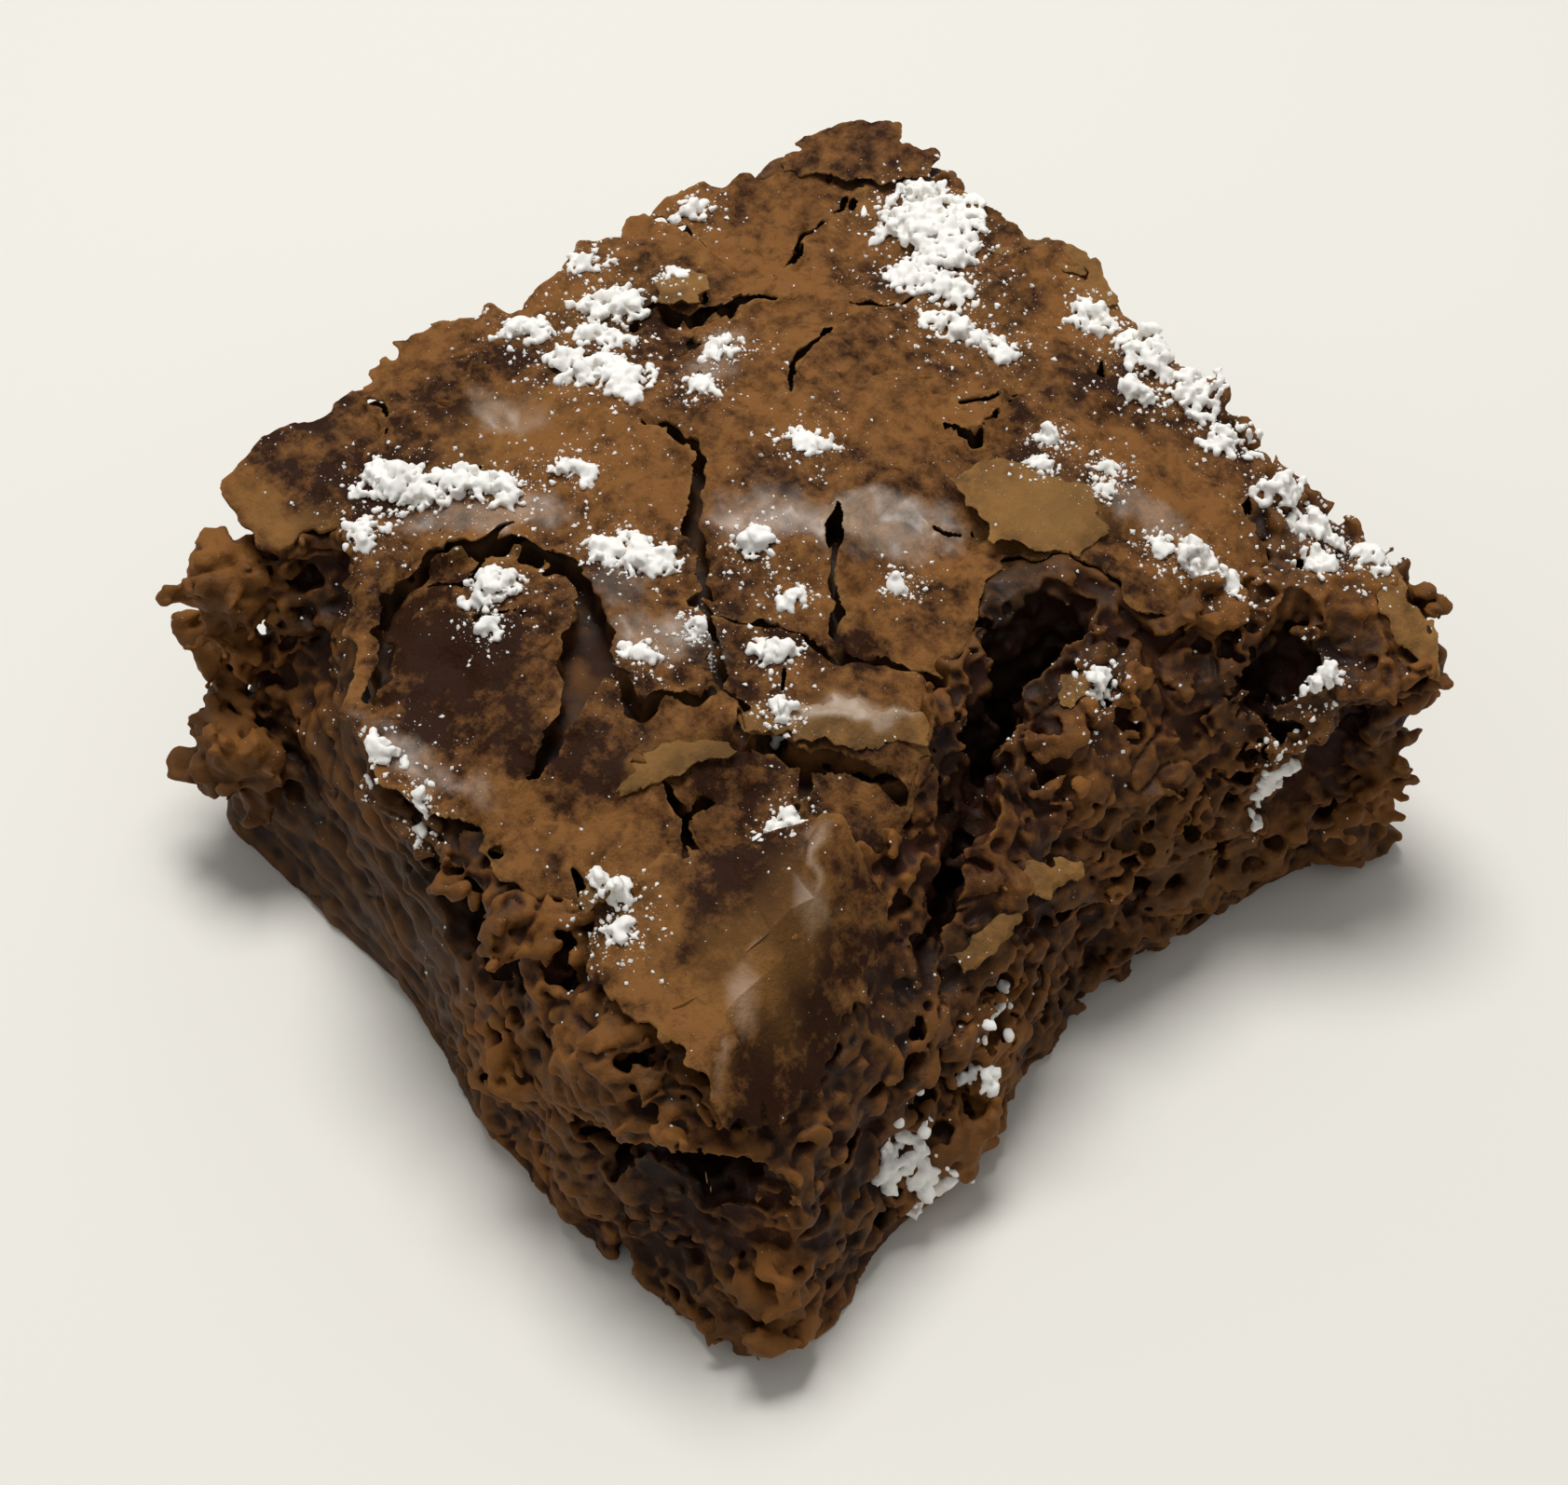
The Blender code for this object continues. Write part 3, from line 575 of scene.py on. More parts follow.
def thinned(thing, most):   # collapses a heavy mesh to the most triangles that a piece may have
    count = sum(len(p.vertices) - 2 for p in thing.data.polygons)
    if count <= most:
        return thing
    modifier = thing.modifiers.new("thin", "DECIMATE")
    modifier.ratio = most / count
    graph = bpy.context.evaluated_depsgraph_get()
    mesh = bpy.data.meshes.new_from_object(thing.evaluated_get(graph))
    thing.modifiers.clear()
    old = thing.data
    thing.data = mesh
    bpy.data.meshes.remove(old)
    mesh.name = thing.name
    return thing


def placesOf(thing):   # every point of a mesh, in mm
    places = np.empty(len(thing.data.vertices) * 3, np.float32)
    thing.data.vertices.foreach_get("co", places)
    return places.reshape(-1, 3) / mm


def crests(thing, rounds=2):   # how far each point stands out from the mean of its neighbours, over 0.05 mm
    mesh = thing.data
    places, count = placesOf(thing), len(mesh.vertices)
    edges = np.empty(len(mesh.edges) * 2, np.int32)
    mesh.edges.foreach_get("vertices", edges)
    a, b = edges.reshape(-1, 2).T
    normals = np.empty(count * 3, np.float32)
    mesh.vertex_normals.foreach_get("vector", normals)
    shares = np.maximum(np.bincount(a, minlength=count) + np.bincount(b, minlength=count), 1)

    def around(values):
        return (np.bincount(a, values[b], count) + np.bincount(b, values[a], count)) / shares

    offset = places - np.column_stack([around(places[:, k]) for k in range(3)])
    crest = (offset * normals.reshape(-1, 3)).sum(1) / 0.05
    for _ in range(rounds):
        crest = 0.5 * crest + 0.5 * around(crest)
    return crest


def giveValues(thing, **values):   # named numbers on a mesh's points
    for key, numbers in values.items():
        attribute = thing.data.attributes.new(key, "FLOAT", "POINT")
        attribute.data.foreach_set("value", numbers.astype(np.float32))


print("crumb")
crumbPieces = []
crumbParts, crumbAxes, smoothBody, tornField = makeCrumb()
for name, (points, faces) in crumbParts.items():
    print("  ", name, triangleCount(faces), "triangles before thinning")
    piece = thinned(meshObject(name, points, faces), mostTriangles)
    depth = -readField(smoothBody, crumbAxes, placesOf(piece))
    tornAt = readField(np.broadcast_to(tornField, smoothBody.shape), crumbAxes, placesOf(piece))
    giveValues(piece, depth=depth, torn=tornAt, crest=crests(piece))
    crumbPieces.append(piece)

print("crust")
points, faces, inside = crustSheet(
    lambda x, y: readPlan(crustInside, x, y), lambda x, y: readPlan(crustTop, x, y) - 0.31,
    crustSetup["thickness"], (-30.0, 19.0, -28.5, 29.8), crustSetup["cell"], 51, least=60,
    raggedness=0.05)
print("   plates", triangleCount(faces))


def crustPiece(name, points, faces, inside, sharp=55):   # a crust mesh with the numbers its finish reads
    x, y = points[:, 0], points[:, 1]
    return meshObject(name, points, faces, sharp=sharp, attributes={
        "inside": inside, "tanAndRidgeHighlight": readPlan(tanAndRidgeHighlightMap, x, y), "darkAndShaded": readPlan(shadeAndDarkMap, x, y),
        "glossAndPaintedSheen": readPlan(glossAndPaintedSheenMap, x, y)})


plates = thinned(crustPiece("crustPlates", points, faces, inside), mostTriangles)


def planeThrough(a, b, c):   # height of the plane through three points, as a function of x and y
    a, b, c = [np.array(p, float) for p in (a, b, c)]
    n = np.cross(b - a, c - a)
    return lambda x, y: a[2] - (n[0] * (x - a[0]) + n[1] * (y - a[1])) / n[2]


cornerFlake = {
    "outline": [(9.9, -22.6), (10.8, -20.4), (12.6, -16.4), (14.4, -12.8), (16.3, -11.0), (18.6, -10.6),
                (20.6, -12.4), (22.4, -15.4), (23.8, -19.0), (24.6, -22.6), (24.0, -25.2), (22.6, -26.2),
                (20.6, -26.0), (18.4, -25.4), (16.4, -25.8), (13.4, -26.3), (11.2, -24.8)],
    "ridge": ((16.3, -11.2, 22.9), (22.4, -26.2, 18.3)),
    "leftSide": (11.0, -20.6, 20.3),
    "rightSide": (24.8, -21.5, 14.4),
    "thickness": 0.6,
}

s = cornerFlake
leftPlane = planeThrough(s["ridge"][0], s["ridge"][1], s["leftSide"])
rightPlane = planeThrough(s["ridge"][0], s["ridge"][1], s["rightSide"])


def foldHeight(x, y):   # two planes that meet in a ridge, with the crust's own blisters
    fold = -smoothMax(-leftPlane(x, y), -rightPlane(x, y), 0.15)
    return fold + 0.6 * readPlan(blisters, x, y) + 0.6


points, faces, inside = crustSheet(
    lambda x, y: turnTo(x, y, s["outline"], 61), foldHeight, s["thickness"],
    (8.0, 27.5, -28.6, -9.5), 0.2, 62)
corner = crustPiece("cornerFlake", points, faces, inside, sharp=30)

# Loose and lifted flakes of crust: corners as x, y and height, round each one
flakes = {
    "backCornerFlake": [(-25.2, 20.6, 24.6), (-26.2, 23.6, 25.2), (-24.6, 26.8, 25.6), (-22.0, 27.6, 25.7),
                        (-19.8, 28.0, 25.3), (-18.4, 27.2, 25.0), (-19.6, 25.2, 24.9), (-22.2, 22.6, 24.9)],
    "paleFlake": [(-11.6, 24.8, 24.6), (-10.0, 27.8, 24.8), (-7.2, 28.9, 25.0), (-5.6, 28.2, 24.8),
                  (-8.4, 25.8, 24.7)],
    "pointedFlake": [(-5.6, 25.4, 24.3), (-6.2, 28.8, 25.5), (-3.2, 28.0, 24.4), (-2.6, 25.8, 24.1)],
    "tanBandFlake": [(4.6, -17.9, 22.3), (5.6, -15.0, 22.7), (7.4, -11.9, 23.1), (9.0, -12.0, 23.0),
                     (8.2, -15.4, 22.5), (6.2, -18.4, 22.0)],
    "lipFlake": [(7.2, -10.4, 23.8), (8.6, -8.0, 24.0), (11.2, -5.2, 24.0), (13.8, -2.8, 23.4),
                 (15.3, -4.0, 22.8), (13.2, -6.9, 23.3), (10.6, -9.3, 23.5), (8.6, -10.9, 23.4)],
    "goldFlake": [(-22.3, 7.9, 25.3), (-20.4, 10.2, 25.4), (-18.0, 8.3, 25.5), (-19.8, 6.2, 25.3)],
    "tanPlate": [(2.4, 9.4, 25.2), (3.0, 13.0, 25.0), (7.6, 15.2, 24.4), (11.2, 13.4, 23.9),
                 (11.0, 11.2, 24.0), (9.2, 9.4, 24.5), (7.6, 8.2, 24.8)],
    "rightEndFlake": [(18.6, 25.8, 20.9), (21.2, 26.9, 20.6), (24.8, 26.3, 19.7), (27.2, 24.0, 18.4),
                      (24.6, 23.4, 19.2), (21.4, 24.4, 20.5)],
    "wallFlakeUpper": [(20.8, -3.6, 16.6), (22.6, -3.9, 16.0), (23.0, -1.2, 16.2), (22.8, 0.6, 16.6),
                       (21.4, -1.0, 17.0)],
    "wallFlakeLower": [(21.4, -7.6, 14.2), (22.6, -8.3, 13.6), (23.0, -5.2, 14.4), (22.6, -3.4, 15.0),
                       (21.6, -4.8, 15.2)],
    "chipA": [(9.0, -23.6, 21.4), (10.2, -22.0, 21.9), (11.2, -22.6, 21.7), (10.6, -24.2, 21.2)],
    "chipB": [(24.0, -27.0, 10.2), (24.8, -26.8, 11.6), (25.4, -26.4, 9.8)],
    "cleftTooth": [(15.4, 6.4, 21.4), (16.6, 4.0, 21.0), (17.2, 6.2, 21.2), (16.6, 9.4, 21.6)],
}

looseFlakes = []
for number, (name, corners) in enumerate(flakes.items()):
    corners = np.array(corners)
    lowCorner, highCorner = corners.min(0) - 0.8, corners.max(0) + 0.8
    points, faces, inside = crustSheet(
        lambda x, y: turnTo(x, y, corners[:, :2], 70 + number),
        lambda x, y: bendThrough(x, y, corners, 0.002) + 0.175 * readPlan(blisters, x, y),
        0.34, (lowCorner[0], highCorner[0], lowCorner[1], highCorner[1]), 0.16, 170 + number)
    looseFlakes.append(crustPiece(name, points, faces, inside))

print("sugar")
bpy.context.view_layer.update()
solidPieces = crumbPieces + [plates, corner] + looseFlakes


def surfaceTree(pieces):   # one search tree over several meshes, in mm
    allPoints, allFaces, offset = [], [], 0
    for piece in pieces:
        allPoints.append(placesOf(piece))
        piece.data.calc_loop_triangles()
        triangles = np.empty(len(piece.data.loop_triangles) * 3, np.int32)
        piece.data.loop_triangles.foreach_get("vertices", triangles)
        allFaces.append(triangles.reshape(-1, 3) + offset)
        offset += len(piece.data.vertices)
    return BVHTree.FromPolygons(np.concatenate(allPoints).tolist(), np.concatenate(allFaces).tolist())


tree = surfaceTree(solidPieces)


def dropOn(x, y):   # where a grain falling at x and y lands
    hit = tree.ray_cast(Vector((x, y, 60.0)), Vector((0, 0, -1)))
    return hit[0]


def sugarClump(x, y, width, length, turn, thick, seed):
    # fine grains that gather round small lumps and heap higher towards the middle of a ragged patch
    rng = np.random.default_rng(seed)
    grains = []
    a = math.radians(turn)
    middles = rng.uniform(-0.42, 0.42, (int(3 + 0.9 * width * length), 2))
    for k in range(int(16 + 30 * width * length)):
        r, angle = rng.random()**0.6, rng.uniform(0, 2 * math.pi)
        r *= 0.5 * (1.0 + 0.35 * math.sin(3 * angle + seed) + 0.25 * math.sin(7 * angle + 2.3 * seed))
        u, v = r * width * math.cos(angle), r * length * math.sin(angle)
        if rng.random() < 0.72:   # most grains cling to small lumps inside the patch
            u, v = middles[rng.integers(len(middles))] * (width, length) + rng.standard_normal(2) * 0.33
        gx, gy = x + u * math.cos(a) - v * math.sin(a), y + u * math.sin(a) + v * math.cos(a)
        spot = dropOn(gx, gy)
        if spot is None or spot.z < 12:
            continue
        level = max(0.0, 1.0 - (2.0 * u / width)**2 - (2.0 * v / length)**2)
        heap = level**0.5 * min(thick, (highest - 0.7 - spot.z) * 1.6) * rng.random()**1.5
        size = (0.10 + 0.30 * rng.random()**2) * (0.55 + 0.45 * level)
        grains.append((spot.x, spot.y, spot.z + 0.3 * size + heap * 0.6, size))
    return grains


def grainMesh(grains, cell, seed):   # the least distance to any grain, roughened and meshed at zero
    grains = np.array(grains)
    lowest, highest = grains[:, :3].min(0) - 0.7, grains[:, :3].max(0) + 0.7
    axes = [np.arange(lowest[k], highest[k], cell) for k in range(3)]
    field = np.full([len(a) for a in axes], 1.0, np.float32)
    for gx, gy, gz, size in grains:
        at = [int(round((g - axes[k][0]) / cell)) for k, g in enumerate((gx, gy, gz))]
        reach = int(size / cell) + 3
        sl = tuple(slice(max(c - reach, 0), c + reach + 1) for c in at)
        u, v, w = axes[0][sl[0]] - gx, axes[1][sl[1]] - gy, axes[2][sl[2]] - gz
        r = np.sqrt(u[:, None, None]**2 + v[None, :, None]**2 + w**2) - size
        field[sl] = np.minimum(field[sl], r)
    powdery = 0.075 * cloud(axes, (0.34, 0.34, 0.34), seed)
    field += powdery + 0.045 * cloud(axes, (0.17, 0.17, 0.17), seed + 1)
    return fieldMesh(field, [a[0] for a in axes], [cell] * 3, 0.05)


def joined(meshes):   # several meshes as one set of points and faces
    points, rows, offset = [], {3: [], 4: []}, 0
    for some, faces in meshes:
        points.append(some)
        for f in faces:
            rows[f.shape[1]].append(f + offset)
        offset += len(some)
    return np.concatenate(points), [np.concatenate(r) for r in rows.values() if r]


sugarSetup = {
    "cell": 0.1,     # grid spacing of the clumps' fields
    "dust": 12000,   # how many loose specks
}

# Clumps of icing sugar: x, y, width, length, turn in degrees, how thick
sugarClumps = [
    (-15.2, 24.0, 7.0, 5.4, 35.0, 1.6), (-17.6, 25.4, 3.6, 3.0, 0.0, 1.4),
    (-12.0, 22.6, 4.4, 3.0, 60.0, 1.3), (-10.2, 20.4, 5.0, 2.4, 20.0, 1.0),
    (-7.0, 18.8, 5.0, 1.8, 10.0, 0.9), (-13.0, 19.8, 2.4, 2.2, 0.0, 0.9), (-4.4, 19.2, 2.6, 1.3, 0.0, 0.7),
    (-22.4, 5.0, 4.2, 3.0, 60.0, 1.1), (-20.4, 2.4, 3.4, 2.2, 30.0, 0.9),
    (-23.8, -0.6, 3.2, 3.0, 50.0, 1.0), (-17.0, 0.4, 4.6, 3.0, 20.0, 1.4),
    (-19.4, -0.8, 3.6, 2.0, 0.0, 1.1), (-26.4, 6.0, 2.2, 1.2, 60.0, 0.7),
    (-26.4, 14.4, 2.0, 1.0, 60.0, 0.8), (-12.6, 3.6, 2.0, 1.3, 0.0, 0.6),
    (-14.6, 7.0, 1.6, 2.6, 10.0, 0.35), (-16.6, -12.2, 7.0, 2.6, 52.0, 1.3),
    (-19.4, -14.0, 4.6, 3.0, 20.0, 1.3), (-14.2, -9.8, 2.6, 2.0, 0.0, 1.5),
    (-17.8, -17.0, 2.2, 1.6, 0.0, 0.7), (-12.6, -6.2, 3.0, 1.3, 45.0, 0.7),
    (-8.9, -14.5, 3.4, 2.6, 40.0, 1.7), (-7.0, -16.6, 1.3, 1.0, 0.0, 0.7),
    (-4.9, -7.1, 3.8, 2.8, 30.0, 1.3), (-6.6, -8.6, 2.4, 1.6, 0.0, 0.7), (-1.3, -2.1, 2.4, 1.8, 70.0, 0.8),
    (2.5, -2.9, 1.6, 0.9, 30.0, 0.6), (5.4, -6.2, 2.6, 1.7, 50.0, 0.9), (8.7, -8.8, 1.6, 1.2, 30.0, 0.9),
    (13.4, -12.6, 2.8, 1.6, 70.0, 1.2), (-4.8, 4.8, 2.4, 1.9, 30.0, 1.3), (5.8, 2.5, 1.3, 0.9, 0.0, 0.8),
    (1.1, -8.4, 0.9, 0.7, 0.0, 0.6), (1.2, -12.0, 1.8, 1.0, 30.0, 0.4), (-3.0, 25.8, 2.6, 2.4, 20.0, 1.0),
    (1.2, 26.2, 4.4, 2.8, 0.0, 1.4), (5.2, 26.4, 3.2, 3.0, 0.0, 1.5), (8.6, 26.0, 3.0, 2.2, 60.0, 1.3),
    (3.0, 23.4, 2.4, 1.6, 0.0, 1.1), (4.4, 14.4, 1.4, 0.9, 0.0, 0.7), (6.7, 17.6, 1.6, 0.9, 70.0, 0.5),
    (8.0, 16.2, 0.9, 0.7, 0.0, 0.5), (3.0, 16.6, 1.0, 0.9, 0.0, 0.5), (14.6, 17.2, 2.6, 2.2, 0.0, 1.9),
    (12.8, 16.2, 1.5, 1.2, 0.0, 0.8), (16.8, 17.8, 2.0, 1.3, 0.0, 0.9), (13.6, 24.8, 2.8, 2.0, 20.0, 1.0),
    (16.6, 25.2, 3.2, 2.4, 0.0, 1.3), (18.2, 23.4, 2.6, 2.2, 0.0, 1.1), (19.6, 26.2, 2.0, 1.6, 0.0, 0.9),
    (16.9, 7.3, 1.5, 2.2, 0.0, 1.7), (23.2, 18.6, 2.8, 1.6, 40.0, 1.2), (23.6, 15.6, 1.8, 1.0, 20.0, 0.8),
    (-5.0, -25.6, 2.6, 1.1, 20.0, 1.0), (-1.0, -26.0, 1.5, 0.9, 0.0, 0.8),
    (10.6, -22.4, 2.2, 1.5, 40.0, 1.0), (12.4, -23.4, 2.0, 1.3, 0.0, 0.6), (-21.6, 8.8, 1.0, 0.8, 0.0, 0.5),
]

heaps = []
for number, clump in enumerate(sugarClumps):
    grains = sugarClump(*clump, seed=200 + number)
    if grains:
        heaps.append(grainMesh(grains, sugarSetup["cell"], 300 + 2 * number))

# Sugar that clings to the right wall: y, height, width, depth of the patch and how many grains
wallSugar = [(-13.8, 8.6, 2.2, 7.0, 190), (-12.2, 4.8, 2.0, 3.4, 90), (-15.4, 11.0, 1.4, 2.4, 50),
             (-6.6, 14.4, 2.4, 1.6, 40), (-8.4, 12.4, 1.2, 1.0, 30), (16.4, 16.4, 1.8, 4.4, 60)]
rng = np.random.default_rng(390)
for number, (y, z, width, drop, count) in enumerate(wallSugar):
    grains = []
    for _ in range(count):
        across, along = rng.standard_normal(), rng.standard_normal()
        aim = Vector((45.0, y + 0.3 * width * across, z + 0.3 * drop * along))
        hit = tree.ray_cast(aim, Vector((-1, 0, -0.25)))[0]
        if hit is not None and hit.x > 12 and hit.z > 1.5:
            size = 0.12 + 0.3 * rng.random()**2
            grains.append((hit.x + 0.3 * size, hit.y, hit.z, size))
    heaps.append(grainMesh(grains, sugarSetup["cell"], 380 + 2 * number))
points, faces = joined(heaps)
sugarHeaps = thinned(meshObject("icingSugarClumps", points, faces), mostTriangles)
print("   sugar", triangleCount(faces), "triangles before thinning")


def specks(places, sizes, seed):   # tiny eight-faced crystals, each turned and squeezed its own way
    rng = np.random.default_rng(seed)
    base = np.array([(1, 0, 0), (-1, 0, 0), (0, 1, 0), (0, -1, 0), (0, 0, 1), (0, 0, -1)], float)
    rows = np.array([(0, 2, 4), (2, 1, 4), (1, 3, 4), (3, 0, 4),
                     (2, 0, 5), (1, 2, 5), (3, 1, 5), (0, 3, 5)])
    turns, _ = np.linalg.qr(rng.standard_normal((len(places), 3, 3)))
    turns *= np.sign(np.linalg.det(turns))[:, None, None]
    stretch = rng.uniform(0.6, 1.3, (len(places), 1, 3))
    crystals = np.einsum("nij,nkj->nki", turns, base[None] * stretch) * sizes[:, None, None]
    crystals = crystals + places[:, None]
    faces = rows[None] + 6 * np.arange(len(places))[:, None, None]
    return crystals.reshape(-1, 3), [faces.reshape(-1, 3)]


def dustPlaces(count, seed):   # dust thickens towards the clumps and lies in drifts between them
    rng = np.random.default_rng(seed)
    near = np.array([(c[0], c[1], max(c[2], c[3])) for c in sugarClumps])
    drift = planCloud(2.6, 28) + 0.6 * planCloud(0.9, 29)
    found, sizes = [], []
    while len(found) < count:
        close = rng.random() < 0.6
        if close:
            c = near[rng.integers(len(near))]
            x, y = c[:2] + rng.standard_normal(2) * (0.42 * c[2] + 0.3)
        else:
            x, y = rng.uniform(-28, 27), rng.uniform(-28, 28)
            if rng.random() > 0.10 + 0.9 * ramp(readPlan(drift, np.array(x), np.array(y)), 0.2, 2.2):
                continue
        spot = dropOn(x, y)
        if spot is None or spot.z < 6:
            continue
        found.append(tuple(spot))
        sizes.append(0.025 + (0.17 if close else 0.09) * rng.random()**4)
    return np.array(found), np.array(sizes)


places, sizes = dustPlaces(sugarSetup["dust"], 401)
points, faces = specks(places, sizes, 402)
dust = meshObject("icingSugarDust", points, faces, smooth=False)

print("materials")

colours = {
    "crumbCut": "#2a1c10", "crumbDark": "#1c0c03", "crumbMid": "#54330f",
    "crumbLight": "#805222", "crumbRed": "#361703",
    "crustDark": "#2c1403", "crustMid": "#80552b", "crustGold": "#8a6130",
    "crustTan": "#94703f", "crustPaintedSheen": "#c4b09a",
    "sugar": "#f4f1ea", "floor": "#e8e5dc",
}


def newMaterial(name):   # a material with its tree and its shader
    material = bpy.data.materials.new(name)
    material.use_nodes = True
    tree = material.node_tree
    return material, tree, tree.nodes["Principled BSDF"]


def blend(tree, factor, first, second):   # mixes two colours by a factor
    return node(tree, "ShaderNodeMix", {"data_type": "RGBA", 0: factor, 6: first, 7: second}).outputs[2]


def readers(tree, names):   # the mesh attributes of these names, as sockets
    return {key: node(tree, "ShaderNodeAttribute", {"attribute_name": key}).outputs["Fac"] for key in names}


def crumbMaterial():
    # moist baked crumb: painted shade nearly black in the pores, a painted highlight golden brown on the
    # torn crests, slightly damp
    material, tree, shader = newMaterial("moist baked chocolate crumb")
    place = node(tree, "ShaderNodeTexCoord").outputs["Object"]
    read = readers(tree, ("depth", "crest", "torn"))
    # streaks along the knife's way on the cut side
    long = node(tree, "ShaderNodeMapping", {"Scale": (0.22, 0.5, 1.0)}, Vector=place)
    streaks = node(tree, "ShaderNodeTexNoise", {"Scale": 1100.0, "Detail": 4.0, "Roughness": 0.65},
                   Vector=long.outputs[0])
    patches = node(tree, "ShaderNodeTexNoise", {"Scale": 190.0, "Detail": 5.0, "Roughness": 0.62},
                   Vector=place)
    grain = node(tree, "ShaderNodeTexNoise", {"Scale": 1500.0, "Detail": 4.0, "Roughness": 0.65},
                 Vector=place)
    mixed = node(tree, "ShaderNodeMix", {"data_type": "FLOAT", 0: read["torn"],
                                         2: streaks.outputs["Fac"], 3: grain.outputs["Fac"]})
    # painted highlight: points that stand out from their neighbours are painted lighter, on top of the
    # grain
    grainAndCrestHighlight = node(tree, "ShaderNodeMath", {"operation": "MULTIPLY_ADD", 0: read["crest"], 1: 0.42,
                                          2: mixed.outputs[0]})
    # painted shade: the deeper a point lies below the smooth body, the darker it is painted
    poreShade = node(tree, "ShaderNodeMath", {"operation": "MULTIPLY_ADD", 0: read["depth"], 1: -0.26,
                                         2: grainAndCrestHighlight.outputs[0]})
    span = node(tree, "ShaderNodeMapRange", {"From Min": 0.22, "From Max": 0.86}, Value=poreShade.outputs[0])
    patchSpan = node(tree, "ShaderNodeMapRange", {"From Min": 0.36, "From Max": 0.64},
                     Value=patches.outputs["Fac"])
    darkAndShaded = blend(tree, patchSpan.outputs[0], linear(colours["crumbDark"]), linear(colours["crumbRed"]))
    light = blend(tree, patchSpan.outputs[0], linear(colours["crumbMid"]), linear(colours["crumbLight"]))
    colour = blend(tree, span.outputs[0], darkAndShaded, light)
    cut = node(tree, "ShaderNodeMapRange", {"From Min": 0.0, "From Max": 0.6, "To Min": 0.4, "To Max": 0.0},
               Value=read["torn"])
    # the knife pressed its side darker
    colour = blend(tree, cut.outputs[0], colour, linear(colours["crumbCut"]))
    wetSpan = {"From Min": 0.3, "From Max": 0.7, "To Min": 0.5, "To Max": 0.78}
    wet = node(tree, "ShaderNodeMapRange", wetSpan, Value=patches.outputs["Fac"])
    bump = node(tree, "ShaderNodeBump", {"Strength": 0.7, "Distance": 0.00022}, Height=mixed.outputs[0])
    setInputs(tree, shader, {
        "Base Color": colour, "Roughness": wet.outputs[0], "Normal": bump.outputs[0], "IOR": 1.4,
        "Specular IOR Level": 0.3, "Subsurface Weight": 0.1, "Subsurface Radius": (1.0, 0.45, 0.2),
        "Subsurface Scale": 0.0012})
    return material


def crustMaterial(name, pale):
    # papery baked sugar crust: dull and finely mottled, with smoother stretches that catch the light, and
    # thinner and paler at some of its broken edges; painted into its colour are shade in darker spots, a
    # pale sheen where it is glossy and a highlight along the corner flake's ridge
    material, tree, shader = newMaterial(name)
    place = node(tree, "ShaderNodeTexCoord").outputs["Object"]
    read = readers(tree, ("inside", "tanAndRidgeHighlight", "darkAndShaded", "glossAndPaintedSheen"))
    broad = node(tree, "ShaderNodeTexNoise", {"Scale": 120.0, "Detail": 4.0, "Roughness": 0.6},
                 Vector=place)
    mottle = node(tree, "ShaderNodeTexNoise", {"Scale": 800.0, "Detail": 5.0, "Roughness": 0.7},
                  Vector=place)
    both = node(tree, "ShaderNodeMath", {"operation": "ADD", 0: broad.outputs["Fac"],
                                         1: mottle.outputs["Fac"]})
    # painted shade and darker crust: these spots pull the mottle towards the dark colour
    darkerAndShaded = node(tree, "ShaderNodeMath", {"operation": "MULTIPLY_ADD", 0: read["darkAndShaded"], 1: -0.30,
                                           2: both.outputs[0]})
    span = node(tree, "ShaderNodeMapRange", {"From Min": 0.82, "From Max": 1.13}, Value=darkerAndShaded.outputs[0])
    base = blend(tree, span.outputs[0], linear(colours["crustDark"]), linear(colours["crustMid"]))
    thin = node(tree, "ShaderNodeMapRange", {"From Min": 0.4, "From Max": 0.02, "To Max": 0.35},
                Value=read["inside"])
    patchy = node(tree, "ShaderNodeMath", {"operation": "MULTIPLY", 0: thin.outputs[0], 1: span.outputs[0]})
    edged = blend(tree, patchy.outputs[0], base, linear(colours["crustTan"]))
    # tan spots, and a painted highlight along the corner flake's ridge
    tanAndRidgeHighlightAmount = node(tree, "ShaderNodeMath", {"operation": "MULTIPLY", 0: read["tanAndRidgeHighlight"], 1: 0.8})
    golden = blend(tree, tanAndRidgeHighlightAmount.outputs[0], edged, linear(colours["crustGold"]))
    tint = blend(tree, pale, golden, linear(colours["crustTan"]))
    # glossier spots: a clear coat, and a painted pale sheen blended into the colour
    coatAndPaintedSheen = node(tree, "ShaderNodeMath", {"operation": "MULTIPLY", 0: read["glossAndPaintedSheen"], 1: both.outputs[0]})
    paintedSheen = node(tree, "ShaderNodeMath", {"operation": "MULTIPLY", 0: coatAndPaintedSheen.outputs[0], 1: 0.3})
    tint = blend(tree, paintedSheen.outputs[0], tint, linear(colours["crustPaintedSheen"]))
    dullSpan = {"From Min": 0.35, "From Max": 0.65, "To Min": 0.62, "To Max": 0.8}
    dull = node(tree, "ShaderNodeMapRange", dullSpan, Value=broad.outputs["Fac"])
    bump = node(tree, "ShaderNodeBump", {"Strength": 1.0, "Distance": 0.0003}, Height=mottle.outputs["Fac"])
    setInputs(tree, shader, {
        "Base Color": tint, "Roughness": dull.outputs[0], "Normal": bump.outputs[0], "IOR": 1.45,
        "Coat Weight": coatAndPaintedSheen.outputs[0], "Coat Roughness": 0.4, "Specular IOR Level": 0.14,
        "Subsurface Weight": 0.08, "Subsurface Radius": (1.0, 0.5, 0.25), "Subsurface Scale": 0.001})
    return material


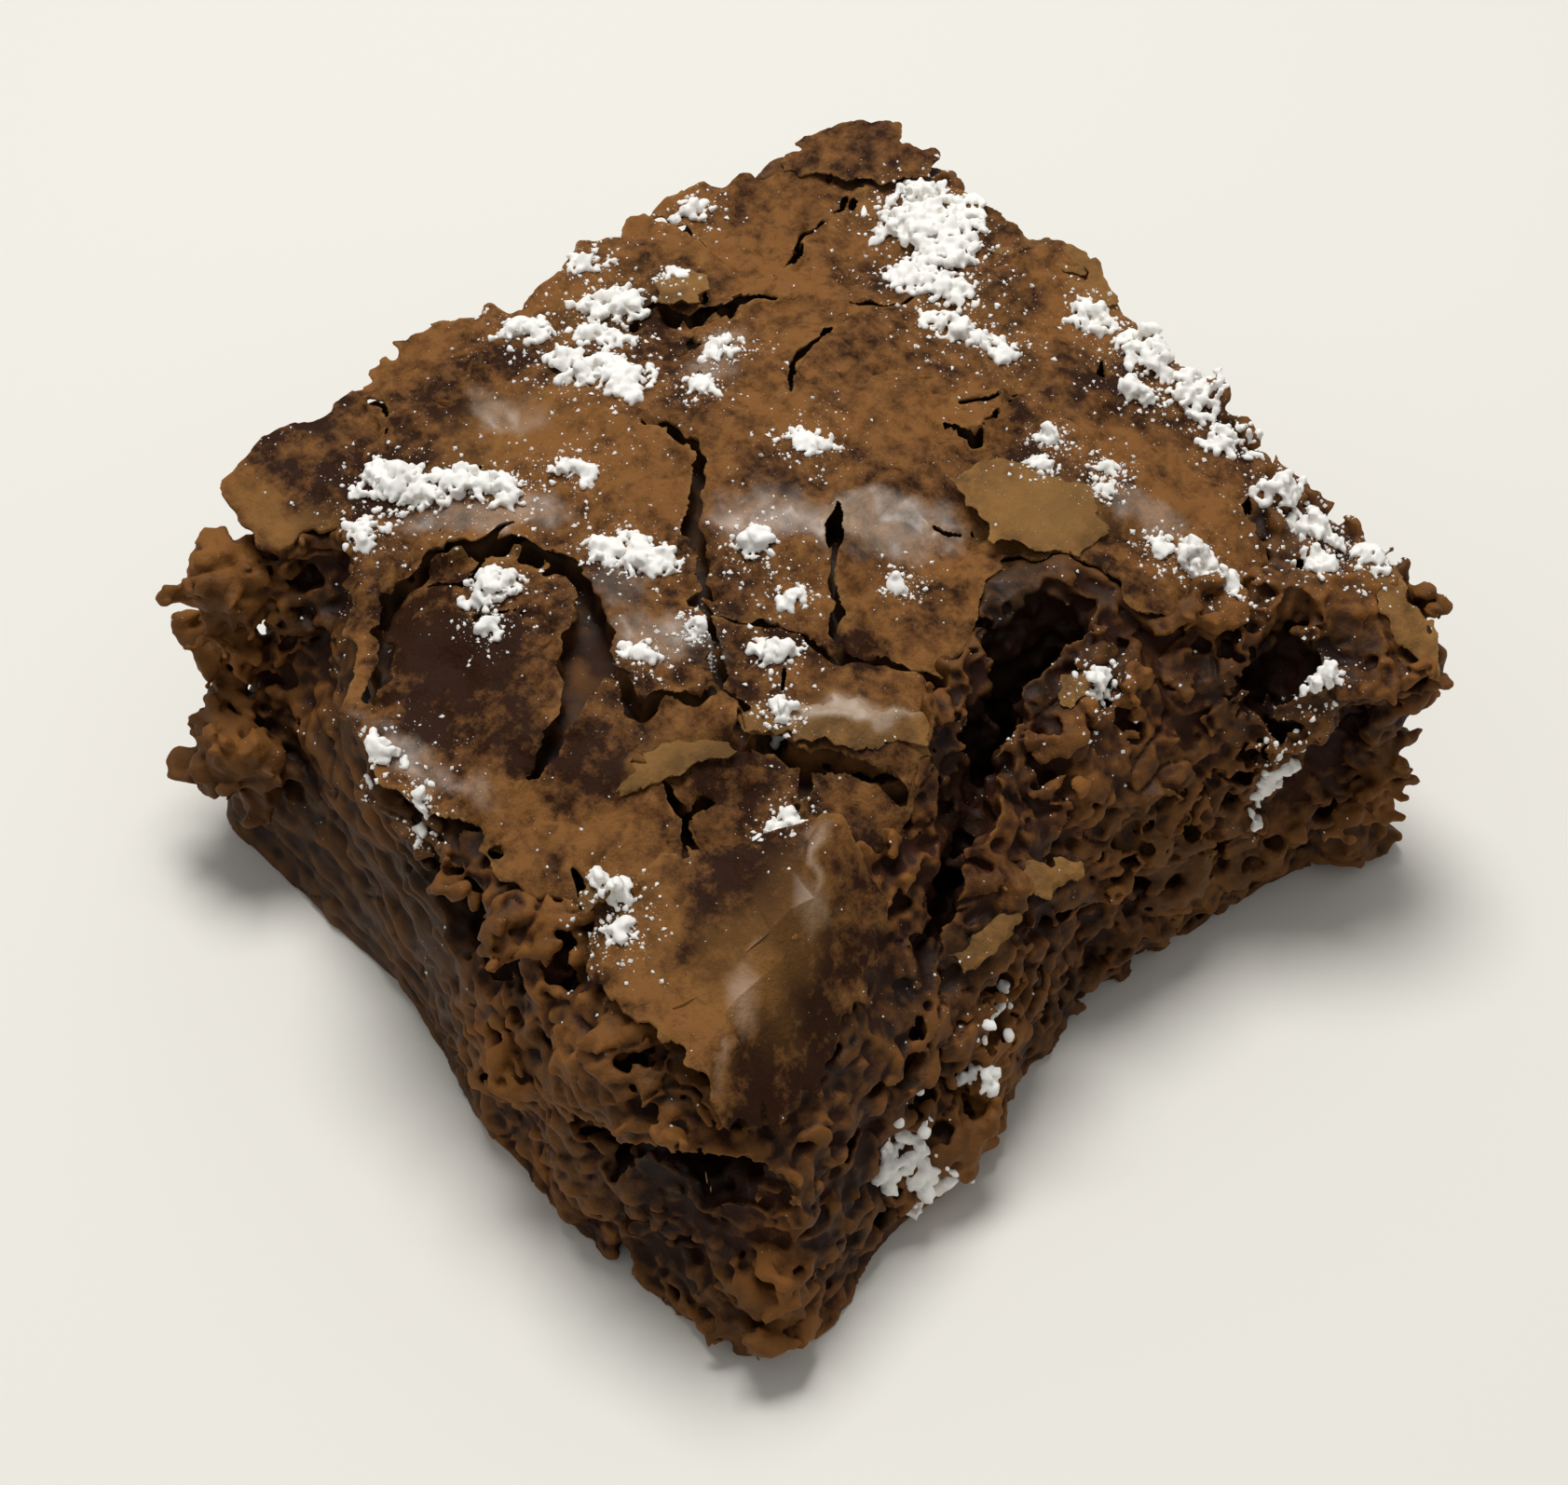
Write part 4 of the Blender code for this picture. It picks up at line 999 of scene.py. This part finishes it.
def sugarMaterial():
    # Icing sugar: a very fine powder, so it is matte, bright and soft with no gloss
    material, tree, shader = newMaterial("milled icing sugar")
    place = node(tree, "ShaderNodeTexCoord").outputs["Object"]
    powder = node(tree, "ShaderNodeTexNoise", {"Scale": 3500.0, "Detail": 2.0}, Vector=place)
    bump = node(tree, "ShaderNodeBump", {"Strength": 0.3, "Distance": 0.00005},
                Height=powder.outputs["Fac"])
    setInputs(tree, shader, {
        "Base Color": linear(colours["sugar"]), "Roughness": 0.9, "Normal": bump.outputs[0],
        "Specular IOR Level": 0.2, "Subsurface Weight": 0.2, "Subsurface Radius": (1.0, 0.95, 0.9),
        "Subsurface Scale": 0.001})
    return material


crumbFinish = crumbMaterial()
crustFinish = crustMaterial("baked sugar crust", 0.0)
paleFinish = crustMaterial("thin pale crust flake", 0.35)
sugarFinish = sugarMaterial()
for piece in crumbPieces:
    piece.data.materials.append(crumbFinish)
plates.data.materials.append(crustFinish)
corner.data.materials.append(crustFinish)
for flake in looseFlakes:
    flake.data.materials.append(crustFinish if flake.name == "backCornerFlake" else paleFinish)
sugarHeaps.data.materials.append(sugarFinish)
dust.data.materials.append(sugarFinish)

print("floor, light and camera")


def makeFloor():   # one wide square just below the underside
    size = 900.0
    points = np.array([(-size, -size, 0), (size, -size, 0), (size, size, 0), (-size, size, 0)], float)
    points[:, 2] = -0.02
    floor = meshObject("floor", points, [np.array([[0, 1, 2, 3]])], smooth=False)
    material, tree, shader = newMaterial("plain glazed plate white")
    setInputs(tree, shader, {"Base Color": linear(colours["floor"]), "Roughness": 0.6})
    floor.data.materials.append(material)


lightSetup = {
    "room": 0.36,                       # brightness of the even white surroundings
    "place": (-100.0, 50.0, 430.0),     # the lamp hangs above, a little to the left and behind
    "size": 210.0,
    "power": 1.52,
    "aim": (0, 0, 15),
}


def addLamp(name, place, size, power, aim):   # a round white lamp that faces its aim
    lamp = bpy.data.lights.new(name, "AREA")
    lamp.shape = "DISK"
    lamp.size = size * mm
    lamp.energy = power
    thing = bpy.data.objects.new(name, lamp)
    thing.location = Vector(place) * mm
    thing.rotation_euler = (Vector(place) - Vector(aim)).to_track_quat("Z", "Y").to_euler()
    bpy.context.scene.collection.objects.link(thing)


def makeLight():   # an even white room and one soft lamp above
    s = lightSetup
    world = bpy.data.worlds.new("soft room")
    bpy.context.scene.world = world
    world.use_nodes = True
    world.node_tree.nodes["Background"].inputs["Color"].default_value = (1, 1, 1, 1)
    world.node_tree.nodes["Background"].inputs["Strength"].default_value = s["room"]
    addLamp("overhead", s["place"], s["size"], s["power"], s["aim"])


cameraSetup = {
    "target": (1.87, -2.68, 11.16),
    "distance": 204.6,
    "azimuth": 49.0,
    "elevation": 48.0,
    "viewWidth": 91.14,   # what the frame's width covers at the target
    "sensor": 36.0,
}


def makeCamera():   # the view direction from azimuth and elevation, at a distance from the target
    s = cameraSetup
    a, e = math.radians(s["azimuth"]), math.radians(s["elevation"])
    back = Vector((math.sin(a) * math.cos(e), -math.cos(a) * math.cos(e), math.sin(e)))
    camera = bpy.data.cameras.new("camera")
    camera.sensor_width = s["sensor"]
    camera.lens = s["sensor"] * s["distance"] / s["viewWidth"]
    camera.clip_start = 0.01
    thing = bpy.data.objects.new("camera", camera)
    thing.location = (Vector(s["target"]) + back * s["distance"]) * mm
    thing.rotation_euler = back.to_track_quat("Z", "Y").to_euler()
    bpy.context.scene.collection.objects.link(thing)
    bpy.context.scene.camera = thing


makeFloor()
makeLight()
makeCamera()
bpy.context.scene.view_settings.view_transform = "Standard"

for piece in crumbPieces + [plates, corner, sugarHeaps, dust] + looseFlakes:
    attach(piece, "root")
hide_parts("brownie")

print("finish")
